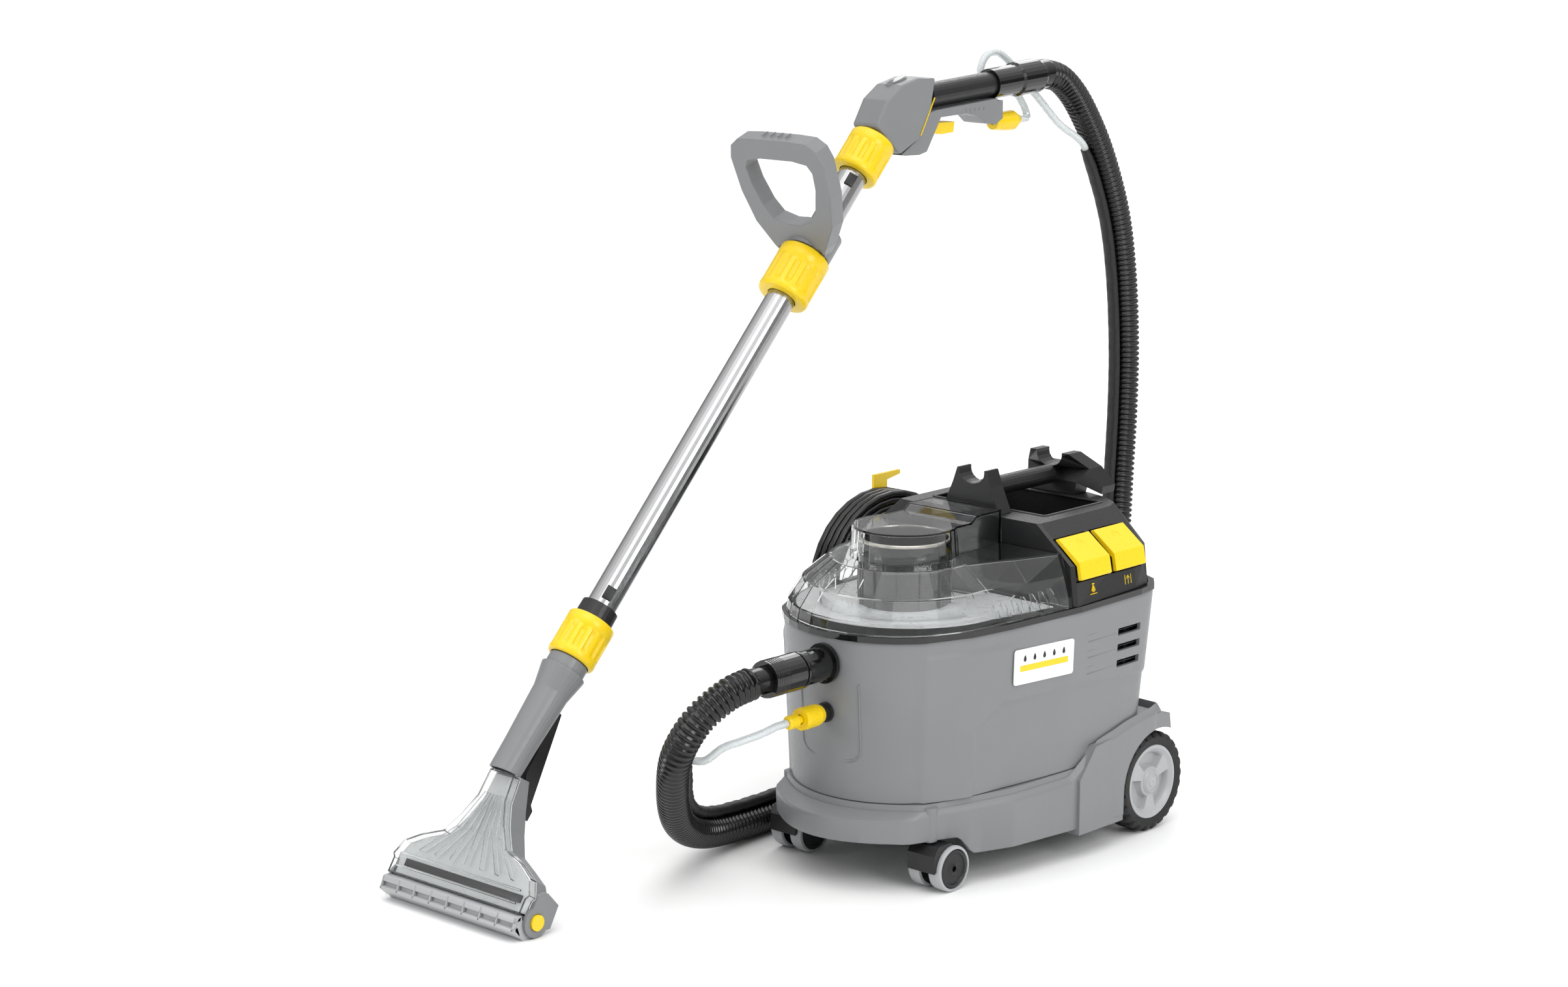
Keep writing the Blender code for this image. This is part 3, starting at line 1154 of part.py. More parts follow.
def make_nozzle():
    neck = turned(
        "nozzle_neck",
        [(0.0175, 0.0260), (0.0215, 0.0260), (0.0215, -0.0005), (0.0235, -0.0010), (0.0235, -0.0130), (0.0268, -0.0145),
         (0.0266, -0.0165), (0.0212, -0.0430), (0.0188, -0.1100), (0.0180, -0.1600), (0.0150, -0.1600),
         (0.0160, -0.1100), (0.0175, -0.0480)],
        GREY, wand, steps=28,
    )
    low = in_fan(0, FAN_TOP - 0.06)
    fan_turn = Matrix.Rotation(math.radians(FAN_TILT), 4, "X")
    below = box("below_neck", (-0.06, -0.08, -0.06), (0.06, 0.08, 0.06 + GAP), matrix=Matrix.Translation(low) @ fan_turn)
    combine(neck, below)
    upright = fan_turn @ Matrix.Rotation(math.pi / 2, 4, "X")
    foot = Matrix.Translation((WAND_X, *FAN_FOOT))
    depth = FAN_COVER_DEPTH
    plate(
        "nozzle_cover", [fan_outline(NOZZLE_HALF - CHEEK_WIDTH - 0.0005, 0.0195)], depth, CLEAR, matrix=foot @ upright, offset=-depth / 2
    )
    front = -depth - GAP
    sections = [
        (-0.016, 0.108, 0.016, 0.016), (0.008, 0.110, 0.020, 0.034), (0.024, 0.099, 0.018, 0.040),
        (0.036, 0.074, 0.020, 0.042), (0.047, 0.048, 0.024, 0.042), (0.070, 0.0325, 0.026, 0.038),
        (0.095, 0.0225, 0.024, 0.030), (FAN_TOP, 0.0190, 0.014, 0.018),
    ]
    rings = []
    for v, half, edge, middle in sections:
        half_ring = [(-half, front), (-half, front - edge), (-half * 0.5, front - middle), (0.0, front - middle)]
        ring = half_ring + [(-u, n) for u, n in reversed(half_ring[:-1])]
        rings.append([in_fan(u, v, n) for u, n in ring])
    back = loft("nozzle_back", [ring[::-1] for ring in rings], GREY)
    heel = [
        (-0.7665, 0.0262), (-0.7638, 0.0245), (-0.7486, 0.0466), (-0.7350, 0.0460), (-0.7200, 0.0290), (-0.7330, 0.0060),
        (-0.7560, 0.0060), (-0.7660, 0.0117),
    ]
    in_wand_plane = Matrix.Translation((WAND_X, 0, 0)) @ ALONG_X
    combine(back, plate("heel", [heel], 2 * NOZZLE_HALF, matrix=in_wand_plane), "UNION")
    lip_half = NOZZLE_HALF - CHEEK_WIDTH - GAP
    for side, word in ((1, "right"), (-1, "left")):
        inner, outer = (WAND_X + side * (NOZZLE_HALF - w) for w in (CHEEK_WIDTH, 0.0))
        cheek = cylinder("cheek_" + word, (inner, *CHEEK), (outer, *CHEEK), CHEEK_R, sides=28)
        combine(back, cheek, "UNION")
    for side, word in ((1, "right"), (-1, "left")):
        inner, outer = (WAND_X + side * (NOZZLE_HALF + w) for w in (-BUTTON_DEPTH, 0.01))
        room = cylinder("button_room_" + word, (inner, *CHEEK), (outer, *CHEEK), BUTTON_R + 0.0004, sides=20)
        combine(back, room)
    lip = [(LIP_FRONT_Y, 0.0140), (-0.7785, 0.0285), (-0.7700, 0.0285), (-0.7664, 0.0116), (-0.7560, 0.0055),
           (-0.7560, 0.0), (-0.7690, 0.0)]
    plate("nozzle_lip", [lip], 2 * lip_half, LIGHT_GREY, matrix=in_wand_plane)
    for side, word in ((1, "right"), (-1, "left")):
        inner, outer = (WAND_X + side * (NOZZLE_HALF + w) for w in (-BUTTON_DEPTH + BUTTON_TRAVEL + GAP, BUTTON_OUT))
        cylinder(
            "nozzle_button_" + word, (inner, *CHEEK), (outer, *CHEEK), BUTTON_R,
            YELLOW, sides=20,
        )
    lever = [
        (-0.6138, 0.2010), (-0.6116, 0.1985), (-0.6600, 0.1050), (-0.6580, 0.0975), (-0.6660, 0.0880), (-0.6715, 0.0925),
        (-0.6700, 0.1100), (-0.6660, 0.1420), (-0.6440, 0.1700),
    ]
    plate("nozzle_lever", [lever], 0.012, BLACK, matrix=in_wand_plane)


make_chassis()
make_body()
make_tanks()
make_inside()
make_seal()
make_lid()
make_head()
make_carry_handle()
make_rear_wheels()
make_casters()
make_inlets()
make_hoses()
make_cable_storage()
make_tube_and_nuts()
make_loop_handle()
make_grip()
make_nozzle()
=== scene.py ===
"""Looks of a spray extractor for carpets and upholstery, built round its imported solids.

Lengths are metres. A finish's pattern sizes are millimetres.
"""

import json
import logging
import math
from dataclasses import dataclass
from enum import Enum
from typing import Callable, Sequence

import bmesh
import bpy
from mathutils import Matrix, Vector


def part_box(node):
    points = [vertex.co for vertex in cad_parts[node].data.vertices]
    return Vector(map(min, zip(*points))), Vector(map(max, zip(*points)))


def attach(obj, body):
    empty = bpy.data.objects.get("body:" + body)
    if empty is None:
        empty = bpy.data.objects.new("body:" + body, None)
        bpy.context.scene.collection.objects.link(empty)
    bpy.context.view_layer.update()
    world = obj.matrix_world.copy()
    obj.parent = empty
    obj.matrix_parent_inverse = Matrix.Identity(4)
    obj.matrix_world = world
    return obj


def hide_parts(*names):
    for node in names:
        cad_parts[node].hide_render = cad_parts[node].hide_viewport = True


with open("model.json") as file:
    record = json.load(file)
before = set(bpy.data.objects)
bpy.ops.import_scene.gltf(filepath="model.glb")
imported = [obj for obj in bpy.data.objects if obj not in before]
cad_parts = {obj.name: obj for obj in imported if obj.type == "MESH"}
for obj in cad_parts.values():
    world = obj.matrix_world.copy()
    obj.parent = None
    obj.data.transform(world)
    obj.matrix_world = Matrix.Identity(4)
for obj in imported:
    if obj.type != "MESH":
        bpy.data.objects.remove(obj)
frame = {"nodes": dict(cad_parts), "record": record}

LOG = logging.getLogger("looks")
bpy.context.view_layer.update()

Point2 = tuple[float, float]
Point3 = tuple[float, float, float]


class Body(str, Enum):
    """Bodies of the moving model that pieces ride on."""

    MACHINE = "machine"
    WHEEL_RIGHT = "rear_wheel_right"
    WHEEL_LEFT = "rear_wheel_left"
    CASTERS_RIGHT = "caster_wheels_right"
    CASTERS_LEFT = "caster_wheels_left"
    SPRAY_SWITCH = "spray_switch"
    SUCTION_SWITCH = "suction_switch"
    LID = "waste_tank_and_lid"
    LOWER_NUT = "lower_nut"
    MIDDLE_NUT = "middle_nut"
    UPPER_NUT = "upper_nut"
    LOOP = "loop_handle"
    COUPLER = "coupler_sleeve"
    LIP = "nozzle_lip"


class Slot(str, Enum):
    """Material slots of the record."""

    GREY = "grey_plastic"
    LIGHT_GREY = "light_grey_plastic"
    BLACK = "black_plastic"
    GLOSS_BLACK = "gloss_black_plastic"
    YELLOW = "yellow_plastic"
    CLEAR = "clear_polycarbonate"
    MILKY = "milky_polyethylene"
    STEEL = "stainless_steel"
    TYRE = "tyre_rubber"
    LABEL = "printed_label"
    HOSE = "black_hose"
    CLEAR_HOSE = "clear_hose"
    CABLE = "cable_sheath"


# ---- placing --------------------------------------------------------------------------------------
def along_x(side: int = 1) -> Matrix:
    """Turn that lays an outline of (y, z) in its plane and extrudes it along X.

    Args:
        side: 1 to extrude towards +X, -1 towards -X.

    Returns:
        The matrix.
    """
    return Matrix(((0, 0, side, 0), (1, 0, 0, 0), (0, 1, 0, 0), (0, 0, 0, 1)))


def facing(foot: Vector, slope: Vector, out: Vector, y: float) -> Matrix:
    """Places a drawing on a face that slopes across the machine.

    Args:
        foot: its (x, z) on the face.
        slope: the face's (x, z) direction upwards.
        out: the face's (x, z) normal.
        y: its place along the machine.

    Returns:
        The matrix.
    """
    return Matrix(((0, slope.x, out.x, foot.x), (1, 0, 0, y), (0, slope.y, out.y, foot.y), (0, 0, 0, 1)))


def middle_of(node: str) -> Vector:
    """Centre of a node's box.

    Args:
        node: name of the node.

    Returns:
        The centre, in metres.
    """
    low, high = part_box(node)
    return (low + high) / 2


AXLE = middle_of("rear_axle")
MACHINE = Vector((AXLE.x, AXLE.y, 0.0))
WAND_X = -0.2145
WAND_TILT = -43.3
WAND = Matrix.Translation(MACHINE + Vector((WAND_X, -0.593, 0.256))) @ Matrix.Rotation(math.radians(WAND_TILT), 4, "X")
FAN_TILT = -32.8
FAN = (
    Matrix.Translation(MACHINE + Vector((WAND_X, -0.765, 0.045)))
    @ Matrix.Rotation(math.radians(FAN_TILT), 4, "X")
    @ Matrix.Rotation(math.pi / 2, 4, "X")
)
TO_MACHINE = Matrix.Translation(MACHINE)


# ---- finishes -------------------------------------------------------------------------------------
def linear(colour: str) -> tuple[float, float, float, float]:
    """Turns an sRGB hex colour into linear RGBA.

    Args:
        colour: six hex digits, such as "8a8b8c".

    Returns:
        Linear red, green, blue and an alpha of 1.
    """
    values = (int(colour[i : i + 2], 16) / 255 for i in (0, 2, 4))
    return (*(v / 12.92 if v <= 0.04045 else ((v + 0.055) / 1.055) ** 2.4 for v in values), 1.0)


class Graph:
    """A material's node tree, grown one node at a time."""

    def __init__(self, name: str) -> None:
        """Starts a material with its principled shader."""
        self.material = bpy.data.materials.new(name)
        self.material.use_nodes = True
        self.tree = self.material.node_tree
        self.shader = self.tree.nodes["Principled BSDF"]

    def node(self, kind: str, sockets: dict | None = None, **settings) -> bpy.types.Node:
        """Adds a node.

        Args:
            kind: the node type's name without "ShaderNode".
            sockets: input name or number to a value, or to a socket it is linked from.
            settings: properties of the node.

        Returns:
            The node.
        """
        made = self.tree.nodes.new("ShaderNode" + kind)
        for key, value in settings.items():
            setattr(made, key, value)
        self.feed(made, sockets or {})
        return made

    def feed(self, node: bpy.types.Node, sockets: dict) -> None:
        """Sets or links a node's inputs.

        Args:
            node: the node.
            sockets: input name or number to a value, or to a socket it is linked from.
        """
        for key, value in sockets.items():
            if isinstance(value, bpy.types.NodeSocket):
                self.tree.links.new(value, node.inputs[key])
            else:
                node.inputs[key].default_value = value


@dataclass(frozen=True)
class Finish:
    """A finish of one real material.

    Attributes:
        name: the material's common name and how its surface was made.
        colour: sRGB hex.
        roughness: middle roughness.
        spread: how far roughness wanders over a patch.
        grain: size of the surface texture, in millimetres.
        depth: height of the surface texture, in millimetres.
        edge: radius that rounds each edge, in millimetres.
        shade: how much the colour wanders, 0 to 1.
        metallic: 1 for a metal.
        coat: strength of a clear skin.
        stretch: how many times longer the grain is along its axis.
        axis: turn from the world to the grain's own axes.
        extra: other shader inputs.
    """

    name: str
    colour: str
    roughness: float
    spread: float = 0.06
    grain: float = 0.6
    depth: float = 0.01
    edge: float = 0.7
    shade: float = 0.05
    metallic: float = 0.0
    coat: float = 0.0
    stretch: float = 1.0
    axis: tuple[float, float, float] = (0.0, 0.0, 0.0)
    extra: tuple[tuple[str, float], ...] = ()

    def build(self) -> bpy.types.Material:
        """Makes the material."""
        g = Graph(self.name)
        where = g.node("TexCoord").outputs["Object"]
        along = g.node(
            "Mapping",
            {"Vector": where, "Rotation": self.axis, "Scale": (1.0, 1.0, 1.0 / self.stretch)},
        ).outputs["Vector"]
        cloud = g.node("TexNoise", {"Vector": where, "Scale": 1000 / 70, "Detail": 3.0}).outputs["Fac"]
        grain = g.node("TexNoise", {"Vector": along, "Scale": 1000 / self.grain, "Detail": 2.0}).outputs["Fac"]
        dust = g.node("TexNoise", {"Vector": along, "Scale": 1000 / (self.grain * 9), "Detail": 4.0}).outputs["Fac"]
        base = linear(self.colour)
        dark = (*(c * (1 - self.shade) for c in base[:3]), 1.0)
        light = (*(min(1.0, c * (1 + self.shade)) for c in base[:3]), 1.0)
        tone = g.node("Mix", {"Factor": cloud, 6: dark, 7: light}, data_type="RGBA").outputs[2]
        rough = g.node(
            "MapRange",
            {"Value": dust, 1: 0.3, 2: 0.7, 3: max(0.0, self.roughness - self.spread), 4: self.roughness + self.spread},
        ).outputs[0]
        rounded = g.node("Bevel", {"Radius": self.edge / 1000}, samples=4).outputs["Normal"]
        bump = g.node(
            "Bump", {"Height": grain, "Distance": self.depth / 1000, "Strength": 1.0, "Normal": rounded}
        ).outputs["Normal"]
        g.feed(g.shader, {"Base Color": tone, "Roughness": rough, "Normal": bump, "Metallic": self.metallic})
        g.feed(g.shader, {"Coat Weight": self.coat, **dict(self.extra)})
        return g.material


GREY = Finish("polypropylene_satin_moulded_grey", "7c7e80", 0.38, grain=0.5, depth=0.012, edge=1.2).build()
LIGHT_GREY = Finish("abs_satin_moulded_light_grey", "a9abad", 0.36, grain=0.5, depth=0.01, edge=0.6).build()
BLACK = Finish("polypropylene_spark_textured_black", "151517", 0.40, grain=0.45, depth=0.02, edge=0.8).build()
GLOSS_BLACK = Finish("abs_polished_black", "0a0a0b", 0.10, spread=0.03, depth=0.002, edge=0.6, coat=0.3).build()
YELLOW = Finish("polypropylene_satin_moulded_yellow", "f0cc0c", 0.30, grain=0.5, depth=0.008, edge=0.7,
    shade=0.03).build()
CLEAR = Finish(
    "polycarbonate_polished_clear", "fdfefe", 0.015, spread=0.01, depth=0.0, edge=0.5, shade=0.0,
    extra=(("Transmission Weight", 1.0), ("IOR", 1.45)),
).build()
MILKY = Finish(
    "polyethylene_blow_moulded_milky", "dfeadf", 0.40, grain=2.0, depth=0.03, edge=1.0,
    extra=(("Transmission Weight", 0.35), ("IOR", 1.5), ("Subsurface Weight", 0.2)),
).build()
STEEL = Finish(
    "stainless_steel_drawn_and_brushed", "a9a9aa", 0.20, spread=0.04, grain=0.25, depth=0.0006, edge=0.2, metallic=1.0,
    stretch=160.0, axis=(math.radians(43.3), 0.0, 0.0),
).build()
RUBBER = Finish("natural_rubber_moulded_black", "171717", 0.62, grain=0.7, depth=0.05, edge=0.5).build()
HOSE = Finish("pvc_spiral_wound_black", "0e0e0f", 0.17, spread=0.06, grain=0.9, depth=0.006, edge=0.2).build()
SHEATH = Finish("woven_nylon_sleeve_black", "131314", 0.55, grain=0.5, depth=0.06, edge=0.3).build()
CABLE = Finish("pvc_extruded_cable_sheath_black", "121213", 0.25, spread=0.05, grain=1.5, depth=0.01, edge=0.1).build()
CLEAR_HOSE = Finish(
    "pvc_extruded_tube_clear", "e9eeef", 0.28, grain=2.0, depth=0.01, edge=0.1,
    extra=(("Transmission Weight", 0.40), ("IOR", 1.38)),
).build()
NATURAL = Finish("polypropylene_natural_moulded", "e6e8e8", 0.30, grain=1.0, depth=0.006, edge=0.4, shade=0.02).build()
WHITE = Finish("polyester_film_label_white", "eceded", 0.25, grain=1.0, depth=0.002, edge=0.2).build()
BRASS = Finish("brass_turned_nickel_plated", "b9b6ae", 0.22, grain=0.3, depth=0.004, edge=0.2, metallic=1.0).build()

CAD_FINISHES = {
    Slot.GREY: GREY, Slot.LIGHT_GREY: LIGHT_GREY, Slot.BLACK: BLACK, Slot.GLOSS_BLACK: GLOSS_BLACK,
    Slot.YELLOW: YELLOW, Slot.CLEAR: CLEAR, Slot.MILKY: MILKY, Slot.STEEL: STEEL, Slot.TYRE: RUBBER,
    Slot.LABEL: WHITE, Slot.HOSE: HOSE, Slot.CLEAR_HOSE: CLEAR_HOSE, Slot.CABLE: CABLE,
}


def finish_solids() -> None:
    """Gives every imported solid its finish."""
    for sub in frame["record"]["subparts"]:
        data = frame["nodes"][sub["node"]].data
        data.materials.clear()
        data.materials.append(CAD_FINISHES[Slot(sub["material_slot"])])


# ---- mesh tools -----------------------------------------------------------------------------------
def publish(
    name: str, bm: bmesh.types.BMesh, finish: bpy.types.Material, body: Body,
    replaces: Sequence[str] = (), place: Matrix | None = None, sharp: float = 38.0,
) -> bpy.types.Object:
    """Turns a bmesh into a piece that rides on a body.

    Args:
        name: the piece's name.
        bm: its shape; it is freed.
        finish: its material.
        body: what it rides on.
        replaces: solids that it stands for.
        place: transform into the world, written into the mesh.
        sharp: edges over this many degrees stay sharp.

    Returns:
        The object.
    """
    if place is not None:
        bm.transform(place)
    bmesh.ops.recalc_face_normals(bm, faces=bm.faces)
    data = bpy.data.meshes.new(name)
    bm.to_mesh(data)
    bm.free()
    data.shade_smooth()
    data.set_sharp_from_angle(angle=math.radians(sharp))
    data.materials.append(finish)
    made = bpy.data.objects.new(name, data)
    bpy.context.scene.collection.objects.link(made)
    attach(made, body.value)
    if replaces:
        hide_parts(*replaces)
    LOG.info("%s rides on %s", name, body.value)
    return made


def add_loops(bm: bmesh.types.BMesh, loops: Sequence[Sequence[Vector]], closed: bool = False) -> None:
    """Skins rings of points, capping the ends unless the rings close on themselves.

    Args:
        bm: the shape that gets the skin.
        loops: rings of one length.
        closed: whether the last ring joins the first.
    """
    rings = [[bm.verts.new(p) for p in loop] for loop in loops]
    pairs = list(zip(rings, rings[1:])) + ([(rings[-1], rings[0])] if closed else [])
    for low, high in pairs:
        for i in range(len(low)):
            j = (i + 1) % len(low)
            bm.faces.new((low[i], low[j], high[j], high[i]))
    if not closed:
        bm.faces.new(rings[0][::-1])
        bm.faces.new(rings[-1])


def revolved(
    profile: Sequence[Point2], steps: int = 64, warp: Callable[[float, float, float], Point2] | None = None
) -> bmesh.types.BMesh:
    """Turns a closed profile of (radius, height) about Z.

    Args:
        profile: the outline, none of it on the axis.
        steps: facets around.
        warp: changes a (radius, height, angle) into a (radius, height).

    Returns:
        The shape.
    """
    bm = bmesh.new()
    loops = []
    for k in range(steps):
        a = math.tau * k / steps
        ring = [warp(r, h, a) if warp else (r, h) for r, h in profile]
        loops.append([Vector((r * math.cos(a), r * math.sin(a), h)) for r, h in ring])
    add_loops(bm, loops, closed=True)
    return bm


def slab(outline: Sequence[Point2], low: float, high: float, edge: float = 0.0, segments: int = 3) -> bmesh.types.BMesh:
    """An outline between two heights.

    Args:
        outline: its (x, y) points.
        low: lower height.
        high: upper height.
        edge: radius that rounds every edge.
        segments: facets across each rounded edge.

    Returns:
        The shape.
    """
    bm = bmesh.new()
    add_loops(bm, [[Vector((*p, z)) for p in outline] for z in (low, high)])
    if edge:
        bmesh.ops.bevel(
            bm, geom=list(bm.edges), offset=edge, offset_type="OFFSET", affect="EDGES", segments=segments,
            profile=0.5, material=-1, clamp_overlap=True,
        )
    return bm


def block(low: Sequence[float], high: Sequence[float], edge: float = 0.0) -> bmesh.types.BMesh:
    """A rounded block.

    Args:
        low: its lowest corner.
        high: its highest corner.
        edge: radius that rounds every edge.

    Returns:
        The shape.
    """
    (x0, y0, z0), (x1, y1, z1) = low, high
    return slab([(x0, y0), (x1, y0), (x1, y1), (x0, y1)], z0, z1, edge)


def join(target: bmesh.types.BMesh, other: bmesh.types.BMesh, place: Matrix | None = None) -> bmesh.types.BMesh:
    """Adds a second body to a shape.

    Args:
        target: the shape that grows.
        other: the body; it is freed.
        place: transform of the body.

    Returns:
        The target.
    """
    if place is not None:
        other.transform(place)
    scratch = bpy.data.meshes.new("scratch")
    other.to_mesh(scratch)
    other.free()
    target.from_mesh(scratch)
    bpy.data.meshes.remove(scratch)
    return target


def smooth_route(points: Sequence[Sequence[float]], spacing: float, fineness: int = 24) -> list[Vector]:
    """Follows a centripetal Catmull-Rom curve.

    Args:
        points: what the curve passes through.
        spacing: rough distance between the points that come back.
        fineness: steps taken between two given points.

    Returns:
        Evenly spaced points.
    """
    knots = [Vector(p) for p in points]
    knots = [2 * knots[0] - knots[1], *knots, 2 * knots[-1] - knots[-2]]
    fine = []
    for p0, p1, p2, p3 in zip(knots, knots[1:], knots[2:], knots[3:]):
        times = [0.0]
        for a, b in ((p0, p1), (p1, p2), (p2, p3)):
            times.append(times[-1] + math.sqrt((b - a).length))
        t0, t1, t2, t3 = times
        for step in range(fineness):
            t = t1 + (t2 - t1) * step / fineness
            a1 = p0.lerp(p1, (t - t0) / (t1 - t0))
            a2 = p1.lerp(p2, (t - t1) / (t2 - t1))
            a3 = p2.lerp(p3, (t - t2) / (t3 - t2))
            b1 = a1.lerp(a2, (t - t0) / (t2 - t0))
            b2 = a2.lerp(a3, (t - t1) / (t3 - t1))
            fine.append(b1.lerp(b2, (t - t1) / (t2 - t1)))
    fine.append(knots[-2].copy())
    lengths = [0.0]
    for a, b in zip(fine, fine[1:]):
        lengths.append(lengths[-1] + (b - a).length)
    count = max(2, round(lengths[-1] / spacing))
    out, at = [], 0
    for i in range(count + 1):
        want = lengths[-1] * i / count
        while at < len(fine) - 2 and lengths[at + 1] < want:
            at += 1
        share = (want - lengths[at]) / max(1e-9, lengths[at + 1] - lengths[at])
        out.append(fine[at].lerp(fine[at + 1], min(1.0, share)))
    return out


def swept(path: Sequence[Vector], section: Callable[[int], Sequence[Point2]], up: Vector) -> bmesh.types.BMesh:
    """A closed tube along a path.

    Args:
        path: the centreline.
        section: ring of (across, up) offsets for a point's number.
        up: roughly where the first ring's "up" points.

    Returns:
        The shape.
    """
    bm = bmesh.new()
    loops = []
    for i, here in enumerate(path):
        along = (path[min(i + 1, len(path) - 1)] - path[max(i - 1, 0)]).normalized()
        up = (up - along * up.dot(along)).normalized()
        across = along.cross(up)
        loops.append([here + across * u + up * v for u, v in section(i)])
    add_loops(bm, loops)
    return bm


def ring_of(across: float, up: float, steps: int = 24) -> list[Point2]:
    """An ellipse's points.

    Args:
        across: half its width.
        up: half its height.
        steps: how many points.

    Returns:
        The points.
    """
    return [(across * math.cos(math.tau * k / steps), up * math.sin(math.tau * k / steps)) for k in range(steps)]


def pulse(angle: float, count: int, width: float, soft: float = 0.3) -> float:
    """1 within count evenly spaced bumps round a circle, 0 between, with soft sides.

    Args:
        angle: in radians.
        count: how many bumps.
        width: share of each pitch that a bump takes.
        soft: share of the bump given to its two sides.

    Returns:
        A height from 0 to 1.
    """
    phase = abs((angle * count / math.tau) % 1.0 - 0.5) * 2
    edge = width * soft
    t = min(1.0, max(0.0, (width + edge / 2 - phase) / max(1e-6, edge)))
    return t * t * (3 - 2 * t)


# ---- studio ---------------------------------------------------------------------------------------
class Studio:
    """Camera, floor and soft lights."""

    def build(self) -> None:
        """Puts the studio in the scene."""
        scene = bpy.context.scene
        data = bpy.data.cameras.new("camera")
        data.sensor_width = 36.0
        data.lens = 74.75
        data.clip_end = 80.0
        camera = bpy.data.objects.new("camera", data)
        camera.location = MACHINE + Vector((2.338, -3.013, 1.180))
        turn, drop = math.radians(42.63), math.radians(11.81)
        aim = Vector((-math.sin(turn) * math.cos(drop), math.cos(turn) * math.cos(drop), -math.sin(drop)))
        camera.rotation_euler = aim.to_track_quat("-Z", "Y").to_euler()
        scene.collection.objects.link(camera)
        scene.camera = camera

        bm = block((-40.0, -40.0, -0.05), (40.0, 40.0, 0.0))
        data = bpy.data.meshes.new("floor")
        bm.to_mesh(data)
        bm.free()
        data.materials.append(
            Finish("paper_backdrop_matt_white", "f4f4f4", 0.75, grain=3.0, depth=0.01, edge=0.1, shade=0.005).build()
        )
        floor = bpy.data.objects.new("floor", data)
        scene.collection.objects.link(floor)

        world = bpy.data.worlds.new("sky")
        scene.world = world
        world.use_nodes = True
        tree = world.node_tree
        way = tree.nodes.new("ShaderNodeTexCoord")
        split = tree.nodes.new("ShaderNodeSeparateXYZ")
        rise = tree.nodes.new("ShaderNodeMapRange")
        for number, value in ((1, 0.05), (2, 0.80), (3, 0.12), (4, 1.25)):
            rise.inputs[number].default_value = value
        tree.links.new(way.outputs["Generated"], split.inputs[0])
        tree.links.new(split.outputs["Z"], rise.inputs["Value"])
        tree.links.new(rise.outputs[0], tree.nodes["Background"].inputs["Strength"])
        tree.nodes["Background"].inputs["Color"].default_value = (1.0, 1.0, 1.0, 1.0)
        scene.view_settings.view_transform = "Standard"
        sun = bpy.data.lights.new("overhead", "SUN")
        sun.energy = 0.75
        sun.angle = math.radians(50)
        made = bpy.data.objects.new("overhead", sun)
        made.rotation_euler = (math.radians(12), math.radians(14), 0.0)
        scene.collection.objects.link(made)
        self.lamp("key", (2.6, -0.4, 1.5), (0.1, 0.0, 0.3), 1.3, 26.0)
        self.lamp("fill", (-1.4, -3.2, 1.4), (0.0, 0.0, 0.3), 1.2, 20.0)
        self.lamp("back", (-1.6, 2.6, 2.2), (0.0, 0.0, 0.5), 1.5, 18.0)

    @staticmethod
    def lamp(name: str, at: Sequence[float], towards: Sequence[float], side: float, power: float) -> None:
        """Adds one square soft light.

        Args:
            name: its name.
            at: its place.
            towards: what it points at.
            side: its width.
            power: its watts.
        """
        data = bpy.data.lights.new(name, "AREA")
        data.shape = "SQUARE"
        data.size = side
        data.energy = power
        made = bpy.data.objects.new(name, data)
        made.location = at
        made.rotation_euler = (Vector(towards) - Vector(at)).to_track_quat("-Z", "Y").to_euler()
        bpy.context.scene.collection.objects.link(made)


